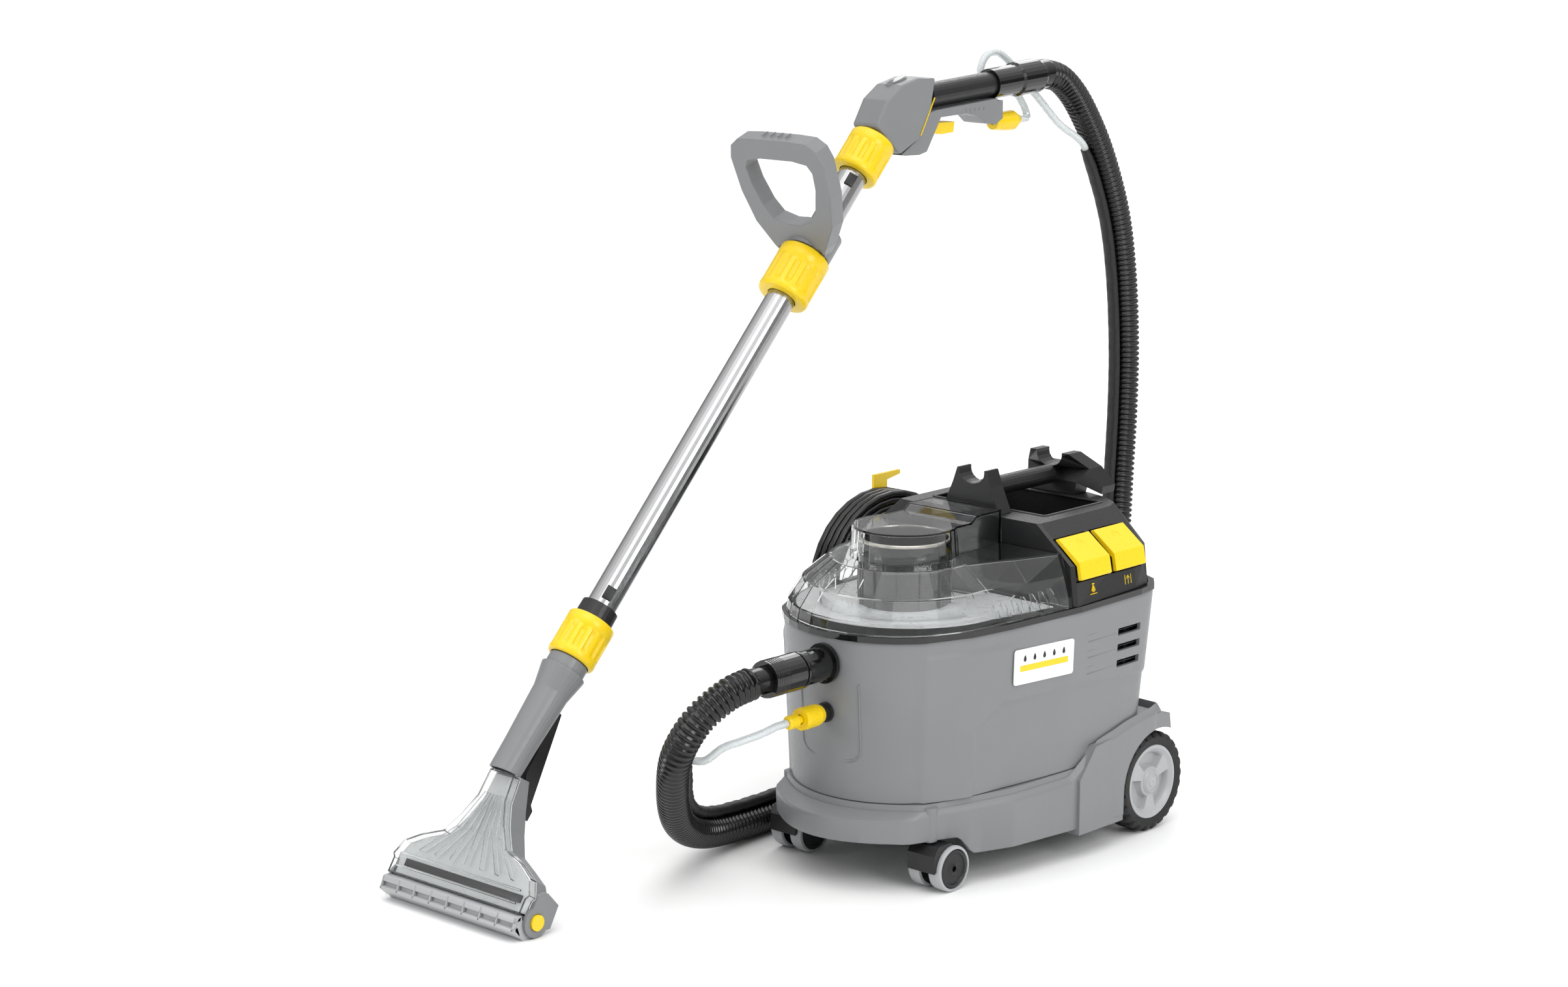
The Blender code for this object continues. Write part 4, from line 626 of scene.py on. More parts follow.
# ---- hoses and cable ------------------------------------------------------------------------------
@dataclass(frozen=True)
class Cords:
    """The suction hose, the spray hose with its sleeve, and the mains cable."""

    hose_r: float = 0.0185
    rib: float = 0.0070
    rib_depth: float = 0.0030
    spray_r: float = 0.0045
    spray_offset: float = 0.0185 + 0.0045 + 0.0012
    cable_r: float = 0.0040
    suction_route: tuple[Point3, ...] = (
        (0.000, -0.5055, 0.2560), (0.000, -0.5250, 0.2560), (-0.006, -0.5555, 0.2485), (-0.020, -0.587, 0.2240),
        (-0.042, -0.596, 0.1855), (-0.075, -0.572, 0.1330), (-0.125, -0.511, 0.0680), (-0.164, -0.430, 0.0290),
        (-0.1755, -0.345, 0.0192), (-0.1815, -0.255, 0.0190), (-0.192, -0.160, 0.0190), (-0.199, -0.060, 0.0190),
        (-0.202, 0.040, 0.0190), (-0.203, 0.140, 0.0190), (-0.204, 0.225, 0.0210), (-0.206, 0.300, 0.0400),
        (-0.208, 0.361, 0.0860), (-0.210, 0.397, 0.1530), (-0.212, 0.413, 0.2300), (-0.2145, 0.422, 0.3200),
        (-0.2145, 0.427, 0.4080), (-0.2145, 0.427, 0.4900), (-0.2145, 0.418, 0.5870), (-0.2145, 0.401, 0.6650),
        (-0.2145, 0.369, 0.7390), (-0.2145, 0.340, 0.7860), (-0.2145, 0.304, 0.8290), (-0.2145, 0.273, 0.8510),
        (-0.2145, 0.2440, 0.8578), (-0.2145, 0.2288, 0.8569),
    )
    spray_from_machine: tuple[Point3, ...] = (
        (0.000, -0.4695, 0.1990), (0.000, -0.4850, 0.1990), (-0.003, -0.5060, 0.1945), (-0.010, -0.5280, 0.1900),
        (-0.022, -0.5480, 0.1835), (-0.037, -0.5600, 0.1690),
    )
    spray_to_wand: tuple[Point3, ...] = (
        (-0.2200, 0.283, 0.7920), (-0.2320, 0.262, 0.8200), (-0.2420, 0.238, 0.8480), (-0.2470, 0.214, 0.8730),
        (-0.2480, 0.190, 0.8860), (-0.2480, 0.170, 0.8830), (-0.2480, 0.1585, 0.8670), (-0.2490, 0.1640, 0.8500),
        (-0.2500, 0.1850, 0.8435), (-0.2500, 0.2080, 0.8430), (-0.2480, 0.2270, 0.8350), (-0.2400, 0.2340, 0.8190),
        (-0.2280, 0.2270, 0.8070), (-0.2175, 0.2130, 0.8042), (-0.2145, 0.2030, 0.8040), (-0.2145, 0.1932, 0.8040),
    )
    lead: tuple[Point3, ...] = (
        (-0.094, 0.0560, 0.3300), (-0.096, 0.0720, 0.3292), (-0.106, 0.0900, 0.3240), (-0.126, 0.1000, 0.3150),
        (-0.150, 0.0950, 0.3040), (-0.170, 0.0770, 0.2930), (-0.179, 0.0540, 0.2835), (-0.178, 0.0320, 0.2690),
        (-0.1750, 0.0150, 0.2470),
    )
    hank: Point2 = (-0.095, 0.274)
    hank_radii: Point2 = (0.115, 0.105)
    hank_x: Point2 = (-0.2035, -0.1690)
    turn_points: int = 30

    def build(self) -> None:
        self.suction()
        self.spray()
        self.mains()

    def suction(self) -> None:
        """The corrugated suction hose."""
        route = [MACHINE + Vector(p) for p in self.suction_route]
        steps = (0.0, 0.12, 0.80, 1.0, 1.0, 0.70)
        path = [route[0], *smooth_route(route[1:-1], self.rib / len(steps), 90), route[-1]]

        def section(i: int) -> list[Point2]:
            """One ring of the ribbed hose."""
            r = self.hose_r - self.rib_depth * (1.0 - steps[i % len(steps)])
            return ring_of(r, r, 26)

        bm = swept(path, section, Vector((1, 0, 0)))
        hose = publish("corrugated_hose", bm, HOSE, Body.MACHINE, ("suction_hose",), sharp=80)
        coarse = [route[0], *smooth_route(route[1:-1], 0.012), route[-1]]

    def beside(self) -> list[Vector]:
        """The spray hose's line along the suction hose."""
        middle = smooth_route(self.suction_route, 0.030)
        out = []
        for before, here, after in zip(middle, middle[1:], middle[2:]):
            along = (after - before).normalized()
            out.append(here + Vector((1, 0, 0)).cross(along).normalized() * self.spray_offset)
        return [p for p in out if p.y > -0.60][5:-4]

    def spray(self) -> None:
        """The clear spray hose, and the woven sleeve that holds it to the suction hose."""
        joined = self.beside()
        route = [*self.spray_from_machine, *(tuple(p) for p in joined), *self.spray_to_wand]
        route = [MACHINE + Vector(p) for p in route]
        path = [route[0], *smooth_route(route[1:-1], 0.006), route[-1]]
        bm = swept(path, lambda i: ring_of(self.spray_r, self.spray_r, 20), Vector((1, 0, 0)))
        hose = publish("clear_spray_hose", bm, CLEAR_HOSE, Body.MACHINE, ("spray_hose",), sharp=60)

        inner = smooth_route([MACHINE + p for p in joined], 0.005)[2:-2]
        count = len(inner)

        def section(i: int) -> list[Point2]:
            """One ring of the sleeve, a little creased."""
            end = min(1.0, min(i, count - 1 - i) / 5)
            fold = 0.0004 * math.sin(i * 1.9) + 0.0003 * math.sin(i * 0.83 + 1.0)
            return ring_of((0.0088 + fold) * (0.72 + 0.28 * end), (0.0066 - fold) * (0.80 + 0.20 * end), 22)

        sleeve = publish("hose_sleeve", swept(inner, section, Vector((0, 0, 1))), SHEATH, Body.MACHINE,
            sharp=70)

    def on_hank(self, turn: float, radius: Point2, x: float) -> Vector:
        """A point of the wound cable.

        Args:
            turn: angle round the hooks.
            radius: the turn's half length and half height.
            x: which column it lies in.

        Returns:
            The point, before it is placed on the machine.
        """
        return Vector((x, self.hank[0] + radius[0] * math.cos(turn), self.hank[1] + radius[1] * math.sin(turn)))

    def winding(self) -> list[Vector]:
        """Twelve turns in three layers, wound from the outside in, each stepping sideways in its own sector."""
        r = self.cable_r
        columns = [self.hank_x[1] - r - 0.0001 - i * (self.hank_x[1] - self.hank_x[0] - 2 * r - 0.0002) / 3
            for i in range(4)]
        points, start = [], math.radians(-30.0)
        radii = [tuple(v - r - 0.0001 - layer * (2 * r + 0.00005) for v in self.hank_radii) for layer in range(3)]
        turns = [(layer, column) for layer in range(3) for column in (range(4) if layer != 1 else range(3, -1, -1))]
        for number, (layer, column) in enumerate(turns):
            following = turns[number + 1] if number + 1 < len(turns) else None
            for k in range(self.turn_points):
                share = k / self.turn_points
                angle = start - math.tau * (number + share)
                x, radius = columns[column], radii[layer]
                if following:
                    sideways = following[1] != column
                    window = (0.86, 1.0) if (sideways and layer) else (0.74, 0.86)
                    t = min(1.0, max(0.0, (share - window[0]) / (window[1] - window[0])))
                    t = t * t * (3 - 2 * t)
                    x += (columns[following[1]] - x) * t
                    radius = tuple(a + (b - a) * t for a, b in zip(radius, radii[following[0]]))
                elif angle < math.radians(112.0) - math.tau * (number + 1):
                    return points
                points.append(self.on_hank(angle, radius, x))
        return points

    def mains(self) -> None:
        """The mains cable, wound on its two hooks."""
        lead = [MACHINE + Vector(p) for p in self.lead]
        wound = [MACHINE + p for p in self.winding()]
        tail = [
            MACHINE + Vector(p)
            for p in ((-0.1994, -0.0760, 0.3575), (-0.1997, -0.0600, 0.3550), (-0.2010, -0.0430, 0.3490),
                      (-0.2060, -0.0270, 0.3370), (-0.2130, -0.0165, 0.3220), (-0.2190, -0.0125, 0.3080),
                      (-0.2208, -0.0120, 0.2962))
        ]
        first = smooth_route([*lead, *wound[:3]], 0.006)
        last = smooth_route([*wound[-3:], *tail], 0.006)
        route = [*first, *wound[3:-3], *last]
        curve = bpy.data.curves.new("mains_cable", "CURVE")
        curve.dimensions = "3D"
        curve.bevel_depth = self.cable_r
        curve.bevel_resolution = 4
        curve.use_fill_caps = True
        spline = curve.splines.new("POLY")
        spline.points.add(len(route) - 1)
        for point, where in zip(spline.points, route):
            point.co = (*where, 1.0)
        curve.materials.append(CABLE)
        cable = bpy.data.objects.new("mains_cable", curve)
        bpy.context.scene.collection.objects.link(cable)
        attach(cable, Body.MACHINE.value)
        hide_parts("mains_lead", "cable_hank")


# ---- mouldings ------------------------------------------------------------------------------------
def between(value: float, points: Sequence[Point2]) -> float:
    """Straight-line interpolation.

    Args:
        value: where to read.
        points: (position, value) pairs in order.

    Returns:
        The value there, held level past both ends.
    """
    for (a, u), (b, v) in zip(points, points[1:]):
        if value <= b:
            return u + (v - u) * min(1.0, max(0.0, (value - a) / (b - a)))
    return points[-1][1]


def carve(target: bpy.types.Object, cutter: bmesh.types.BMesh, operation: str = "DIFFERENCE") -> None:
    """Applies a boolean to a piece at once.

    Args:
        target: the piece.
        cutter: the other shape, in world metres; it is freed.
        operation: DIFFERENCE or UNION.
    """
    bmesh.ops.recalc_face_normals(cutter, faces=cutter.faces)
    data = bpy.data.meshes.new("cutter")
    cutter.to_mesh(data)
    cutter.free()
    other = bpy.data.objects.new("cutter", data)
    bpy.context.scene.collection.objects.link(other)
    step = target.modifiers.new("carve", "BOOLEAN")
    step.operation, step.solver, step.object = operation, "MANIFOLD", other
    graph = bpy.context.evaluated_depsgraph_get()
    made = bpy.data.meshes.new_from_object(target.evaluated_get(graph))
    target.modifiers.clear()
    old, target.data = target.data, made
    name = old.name
    bpy.data.meshes.remove(old)
    made.name = name
    bpy.data.objects.remove(other)
    bpy.data.meshes.remove(data)
    made.shade_smooth()
    made.set_sharp_from_angle(angle=math.radians(32))


def cylinder_between(start: Sequence[float], end: Sequence[float], radius: float, steps: int = 48) -> bmesh.types.BMesh:
    """A cylinder between two points.

    Args:
        start: centre of one end.
        end: centre of the other end.
        radius: its radius.
        steps: facets around.

    Returns:
        The shape.
    """
    a, b = Vector(start), Vector(end)
    bm = bmesh.new()
    along = (b - a).normalized()
    across = along.orthogonal().normalized()
    other = along.cross(across)
    rings = [
        [at + across * radius * math.cos(math.tau * k / steps) + other * radius * math.sin(math.tau * k / steps)
        for k in range(steps)]
        for at in (a, b)
    ]
    add_loops(bm, rings)
    return bm


@dataclass(frozen=True)
class Mouldings:
    """The grey body and the skirt with its fenders, as two smooth mouldings."""

    rake: float = 0.03
    nose_y: float = -0.268
    fender: tuple[Point2, ...] = ((-0.150, 0.030), (-0.150, 0.095), (-0.121, 0.130), (0.004, 0.146), (0.0215, 0.1415),
        (0.0255, 0.115), (0.0255, 0.030))
    panel: tuple[Point2, ...] = ((-0.299, 0.090), (-0.297, 0.182), (-0.266, 0.2065), (-0.150, 0.2110),
        (-0.020, 0.2020), (0.040, 0.196))

    def build(self) -> None:
        """Makes both mouldings."""
        self.tub()
        self.skirt()

    @staticmethod
    def resampled(half: Sequence[Point2], spacing: float) -> list[Point2]:
        """Closes a plan from its +X half, keeping its corners.

        Args:
            half: the half, from the front to the rear.
            spacing: the furthest that two points may be apart.

        Returns:
            The whole plan.
        """
        out = []
        for a, b in zip(half, half[1:]):
            count = max(1, math.ceil(math.dist(a, b) / spacing))
            out.extend((a[0] + (b[0] - a[0]) * k / count, a[1] + (b[1] - a[1]) * k / count) for k in range(count))
        out.append(half[-1])
        return out + [(-x, y) for x, y in reversed(out[1:-1])]

    def body_half(self, share: float, step: float, inset: float = 0.0) -> list[Point2]:
        """Half of the body's plan.

        Args:
            share: how far up the body, 0 to 1.
            step: how far the flat side stands out from the round nose.
            inset: how far the plan is pulled in.

        Returns:
            Points from the front to the rear.
        """
        draft = 0.018 * (1 - share)
        r = 0.130 + 0.009 * share - inset
        half = 0.157 + 0.007 * share - inset
        rear, corner = 0.033 - inset, -draft - inset
        nose = [(r * math.sin(a), self.nose_y - r * math.cos(a))
            for a in (math.radians(46.0 * i / 15) for i in range(16))]
        a = math.radians(50.0)
        start = ((r + step) * math.sin(a), self.nose_y - (r + step) * math.cos(a))
        front = r + (half - r) * 0.15
        knots = [
            (*start, 0.0),
            ((start[0] + front * 2) / 3 + step * 0.5, self.nose_y - (self.nose_y - start[1]) * 0.45, 0.0),
            (front + step * 0.6, self.nose_y + 0.012, 0.0), ((front + half - 0.003) / 2 + 0.0012, -0.205, 0.0),
            (half - 0.0045, -0.150, 0.0), (half, -0.044 - draft, 0.0), (half - 0.003, -0.016 + corner, 0.0),
            (half - 0.017, 0.002 + corner, 0.0), (0.110, rear - 0.012 - draft / 2, 0.0), (0.060, rear - 0.004, 0.0),
            (0.0, rear, 0.0),
        ]
        return nose + [(p.x, p.y) for p in smooth_route(knots, 0.0035, 16)]

    def recess(self, y: float, z: float) -> float:
        """How deep the side's stepped panel is.

        Args:
            y: place along the machine.
            z: height.

        Returns:
            The depth, in metres.
        """
        if y < -0.302:
            return 0.0
        top = between(y, self.panel)
        if y < -0.297:
            top = 0.182
        down = (top - z) / 0.0045
        behind = (y + 0.3005) / 0.0040
        return 0.0026 * min(1.0, max(0.0, down)) * min(1.0, max(0.0, behind))

    def tub(self) -> None:
        """The body's shell."""
        bm = bmesh.new()
        heights = [0.1002 + 0.0028 * k for k in range(60)]
        heights = [*heights, 0.2665, 0.268, 0.2695, 0.2715, 0.274, 0.280, 0.2848, 0.286]
        rings = []
        nose = self.nose_y - 0.139
        for z in heights:
            share = (z - 0.100) / 0.186
            step = 0.0025 * between(z, ((0.264, 1.0), (0.2725, 0.0)))
            plan = self.body_half(share, step, 0.0006 if z > 0.2855 else 0.0)
            ring = []
            full = plan + [(-x, y) for x, y in reversed(plan[1:-1])]
            for x, y in full:
                sunk = self.recess(y, z + self.rake * (y - nose)) if abs(x) > 0.125 else 0.0
                ring.append(Vector((x - math.copysign(sunk, x), y, z + self.rake * (y - nose))))
            rings.append(ring)
        for z in (0.286, 0.200, 0.1045):
            plan = self.body_half((z - 0.100) / 0.186, 0.0, 0.0048)
            full = plan + [(-x, y) for x, y in reversed(plan[1:-1])]
            rings.append([Vector((x, y, z + self.rake * (y - nose))) for x, y in full])
        least = min(len(ring) for ring in rings)
        rings = [self.evened(ring, max(least, 440)) for ring in rings]
        add_loops(bm, rings)
        tub = publish("body_shell", bm, GREY, Body.MACHINE, ("body_tub",), TO_MACHINE, 32)
        for side in (1, -1):
            room = slab([(y + (0.0006 if y > 0 else -0.0006), z + (0.0006 if z > 0.1 else -0.02))
                for y, z in self.fender], 0.108, 0.20)
            room.transform(TO_MACHINE @ along_x(side))
            carve(tub, room)
        for row in range(3):
            low = 0.216 + row * 0.019
            slot = block((0.120, -0.082, low), (0.175, -0.040, low + 0.0085), 0.0012)
            slot.transform(TO_MACHINE)
            carve(tub, slot)
        for z, r in ((0.256, 0.0178), (0.199, 0.0085)):
            carve(tub, cylinder_between(MACHINE + Vector((0, -0.44, z)), MACHINE + Vector((0, -0.37, z)), r))

    @staticmethod
    def evened(ring: Sequence[Vector], count: int) -> list[Vector]:
        """Gives a ring a fixed number of points.

        Args:
            ring: the ring.
            count: how many points it gets.

        Returns:
            The points, each keeping its share of the way round.
        """
        if len(ring) == count:
            return list(ring)
        closed = [*ring, ring[0]]
        out = []
        for k in range(count):
            at = k * len(ring) / count
            low = int(at)
            out.append(closed[low].lerp(closed[low + 1], at - low))
        return out

    def skirt_plan(self, grow: float, inset: float = 0.0) -> list[Point2]:
        """The skirt's plan.

        Args:
            grow: how far it stands out from the body's foot, 0 to 1.
            inset: how far the plan is pulled in.

        Returns:
            The whole plan.
        """
        low = (self.nose_y - 0.131, 0.092, -0.364, 0.157)
        full = (-0.426, 0.0875, -0.389, 0.1645)
        front, corner_x, corner_y, half = (a + (b - a) * grow for a, b in zip(low, full))
        corner_x, corner_y = corner_x - inset * 0.7, corner_y + inset
        front, half, rear = front + inset, half - inset, 0.030 - inset
        rise = corner_y - front
        bow = [(corner_x * i / 10, front + rise * (i / 10) ** 2) for i in range(11)]
        return self.resampled(
            bow + [
                (corner_x + 0.006, corner_y + 0.0038), (corner_x + 0.014, corner_y + 0.013), (half - 0.017, -0.250),
                (half - 0.006, -0.160), (half, -0.080), (half, -0.010), (half - 0.004, 0.007), (half - 0.012, 0.015),
                (0.110, rear - 0.006), (0.0, rear),
            ],
            0.0060,
        )

    def skirt(self) -> None:
        """Skirt, deck, fenders and wheel arches."""
        nose = self.nose_y - 0.139

        def edge(y: float) -> float:
            """Height of the skirt's top edge."""
            raked = 0.0865 + self.rake * (y - nose)
            return max(raked,
                between(y,
                ((-0.160, 0.0), (-0.1595, 0.0938), (-0.110, 0.128), (-0.060, 0.1405), (0.004, 0.1490),
                (0.030, 0.1420))))

        def foot(y: float) -> float:
            """Height of the skirt's lower edge."""
            return between(y, ((-0.324, 0.0595), (-0.316, 0.0590), (-0.300, 0.0375), (0.10, 0.0362)))

        def ring(grow: float, inset: float, level: Callable[[float], float], lift: float) -> list[Vector]:
            """One ring of the skirt's wall."""
            return [Vector((x, y, level(y) + lift)) for x, y in self.skirt_plan(grow, inset)]

        def deck(y: float) -> float:
            """Height of the deck under the body."""
            return 0.0992 + self.rake * (y - nose)

        wall = 0.0034
        rings = [
            ring(0.0, wall, deck, -wall), ring(0.99, wall, edge, -wall - 0.002), ring(0.93, wall, foot, 0.0),
            ring(0.93, 0.0004, foot, 0.0), ring(0.93, 0.0, foot, 0.0006), ring(1.0, 0.0, edge, -0.0035),
            ring(0.995, 0.0, edge, -0.0018),
            ring(0.96, 0.0, edge, 0.0), ring(0.30, 0.0, edge, 0.0060), ring(0.16, 0.0, edge, 0.0064),
            ring(0.14, 0.0, edge, 0.0054),
            ring(0.10, 0.0010, deck, 0.0),
        ]
        count = max(len(r) for r in rings)
        bm = bmesh.new()
        add_loops(bm, [self.evened(r, count) for r in rings])
        skirt = publish("skirt_moulding", bm, GREY, Body.MACHINE, ("chassis",), TO_MACHINE, 32)
        for side in (1, -1):
            fender = slab(list(self.fender), 0.109, 0.1632)
            fender.transform(TO_MACHINE @ along_x(side))
            carve(skirt, fender, "UNION")
            x, y = side * 0.1045, -0.347
            carve(skirt,
                cylinder_between(MACHINE + Vector((x, y, 0.0585)), MACHINE + Vector((x, y, 0.0975)), 0.0085, 32),
                "UNION")
        for side in (1, -1):
            inner, outer = side * 0.113, side * 0.190
            low, high = sorted((inner, outer))
            carve(skirt,
                cylinder_between(MACHINE + Vector((inner, 0, 0.060)), MACHINE + Vector((outer, 0, 0.060)), 0.067, 96))
            for a, b in (((low, -0.067, -0.02), (high, 0.08, 0.060)), ((low, 0.0, 0.03), (high, 0.08, 0.112))):
                cut = block(a, b)
                cut.transform(TO_MACHINE)
                carve(skirt, cut)
            x, y = side * 0.1045, -0.347
            carve(skirt, cylinder_between(MACHINE + Vector((x, y, 0.03)), MACHINE + Vector((x, y, 0.0955)), 0.0054, 32))
        carve(skirt,
            cylinder_between(MACHINE + Vector((-0.13, 0, 0.060)), MACHINE + Vector((0.13, 0, 0.060)), 0.0064, 32))


# ---- running gear ---------------------------------------------------------------------------------
@dataclass(frozen=True)
class RunningGear:
    """Rear wheels and casters."""

    wheel_r: float = 0.060
    rim_r: float = 0.0445
    width: float = 0.036
    outer_x: float = 0.157
    caster_at: Point3 = (0.1045, -0.331, 0.0265)

    def build(self) -> None:
        """Makes both sides."""
        sides = (
            (1, "right", Body.WHEEL_RIGHT, Body.CASTERS_RIGHT),
            (-1, "left", Body.WHEEL_LEFT, Body.CASTERS_LEFT),
        )
        for side, word, wheel, casters in sides:
            at = Vector((side * self.outer_x, 0.0, self.wheel_r))
            place = Matrix.Translation(MACHINE + at) @ Matrix.Rotation(side * math.pi / 2, 4, "Y")
            self.tyre(word, wheel, place)
            self.rim(word, wheel, place)
            x, y, z = self.caster_at
            place = Matrix.Translation(MACHINE + Vector((side * x, y, z))) @ Matrix.Rotation(math.pi / 2, 4, "Y")
            self.caster(word, casters, place)

    def tyre(self, word: str, body: Body, place: Matrix) -> None:
        """A tyre with lugs on both shoulders and a plain band between.

        Args:
            word: which side.
            body: what it rides on.
            place: the wheel's frame.
        """
        r, w, base = self.wheel_r, self.width, self.rim_r + 0.0003
        profile = [
            (base, -0.0012), (0.0500, -0.0006), (r - 0.0062, 0.0), (r - 0.0030, -0.0012), (r - 0.0004, -0.0042),
            (r, -0.0070), (r, -0.0130), (r - 0.0016, -0.0136), (r - 0.0016, -0.0224), (r, -0.0230), (r, 0.0070 - w),
            (r - 0.0004, 0.0042 - w), (r - 0.0030, 0.0012 - w), (r - 0.0062, -w), (0.0500, 0.0006 - w),
            (base, 0.0012 - w),
        ]

        def lugs(radius: float, h: float, angle: float) -> Point2:
            """Cuts the gaps between the lugs."""
            if radius < r - 0.0045 or -0.0225 < h < -0.0135:
                return radius, h
            shift = 0.0 if h > -w / 2 else math.pi / 26
            return radius - 0.0030 * (1.0 - pulse(angle + shift, 26, 0.62, 0.35)), h

        publish(f"lugged_tyre_{word}", revolved(profile, 260, lugs), RUBBER, body, (f"tyre_{word}",),
            place, 50)

    def rim(self, word: str, body: Body, place: Matrix) -> None:
        """A rim with three pockets between broad spokes, and its hub cap.

        Args:
            word: which side.
            body: what it rides on.
            place: the wheel's frame.
        """
        bore, w = 0.0064, self.width
        faces = [(0.0150 + 0.0215 * k / 16, -0.0042) for k in range(17)]
        profile = [
            (bore, 0.003 - w), (0.014, 0.003 - w), (0.014, -0.020), (0.036, -0.020), (0.038, 0.002 - w),
            (self.rim_r, 0.002 - w), (self.rim_r, -0.0022), (0.0438, -0.0014), (0.0405, -0.0014), (0.0393, -0.0024),
            *faces[::-1], (0.0142, -0.0030), (0.0128, -0.0016), (bore, -0.0016),
        ]

        def pockets(radius: float, h: float, angle: float) -> Point2:
            """Sinks the three pockets."""
            if h < -0.0045 or not 0.0148 < radius < 0.0368:
                return radius, h
            across = pulse(angle, 3, 0.66, 0.16)
            span = min(1.0, max(0.0, (radius - 0.0175) / 0.0018)) * min(1.0, max(0.0, (0.0355 - radius) / 0.0014))
            return radius, h - 0.0085 * across * span

        publish(f"wheel_rim_{word}", revolved(profile, 180, pockets), LIGHT_GREY, body,
            (f"rim_{word}",), place)
        cap = [(0.0005, -0.0004), (0.0058, -0.0006), (0.0070, -0.0018), (0.0070, -0.0030), (0.0098, -0.0030),
               (0.0100, -0.0009), (0.0115, -0.0009), (0.0122, -0.0014), (0.0122, -0.0040), (0.0005, -0.0040)]
        publish(f"hub_cap_{word}", revolved(cap, 48), LIGHT_GREY, body, (), place)

    def caster(self, word: str, body: Body, place: Matrix) -> None:
        """Twin black discs with pale treads on one pin.

        Args:
            word: which side.
            body: what it rides on.
            place: the caster's frame.
        """
        r, gap, wide = 0.0265, 0.0058, 0.0185
        discs, treads = bmesh.new(), bmesh.new()
        for side in (1, -1):
            turn = place @ Matrix.Rotation(0.0 if side > 0 else math.pi, 4, "Y")
            outer = gap + wide
            disc = [
                (0.0034, gap + 0.001), (r - 0.0040, gap + 0.001), (r - 0.0040, outer - 0.0026),
                (r - 0.0052, outer - 0.0012),
                (r - 0.0085, outer - 0.0008), (r - 0.0092, outer - 0.0022), (0.0080, outer - 0.0030),
                (0.0034, outer - 0.0012),
            ]
            tread = [
                (r - 0.0037, gap + 0.0006), (r - 0.0006, gap + 0.0012), (r, gap + 0.0030), (r, outer - 0.0036),
                (r - 0.0008, outer - 0.0014), (r - 0.0037, outer - 0.0008),
            ]
            join(discs, revolved(disc, 56), turn)
            join(treads, revolved(tread, 56), turn)
        publish(f"caster_discs_{word}", discs, BLACK, body, (f"caster_wheels_{word}",))
        publish(f"caster_treads_{word}", treads, LIGHT_GREY, body)
        pin = [(0.0004, -gap - 0.004), (0.0032, -gap - 0.004), (0.0032, gap + 0.004), (0.0004, gap + 0.004)]
        publish(f"caster_pin_{word}", revolved(pin, 24), STEEL, body, (), place)


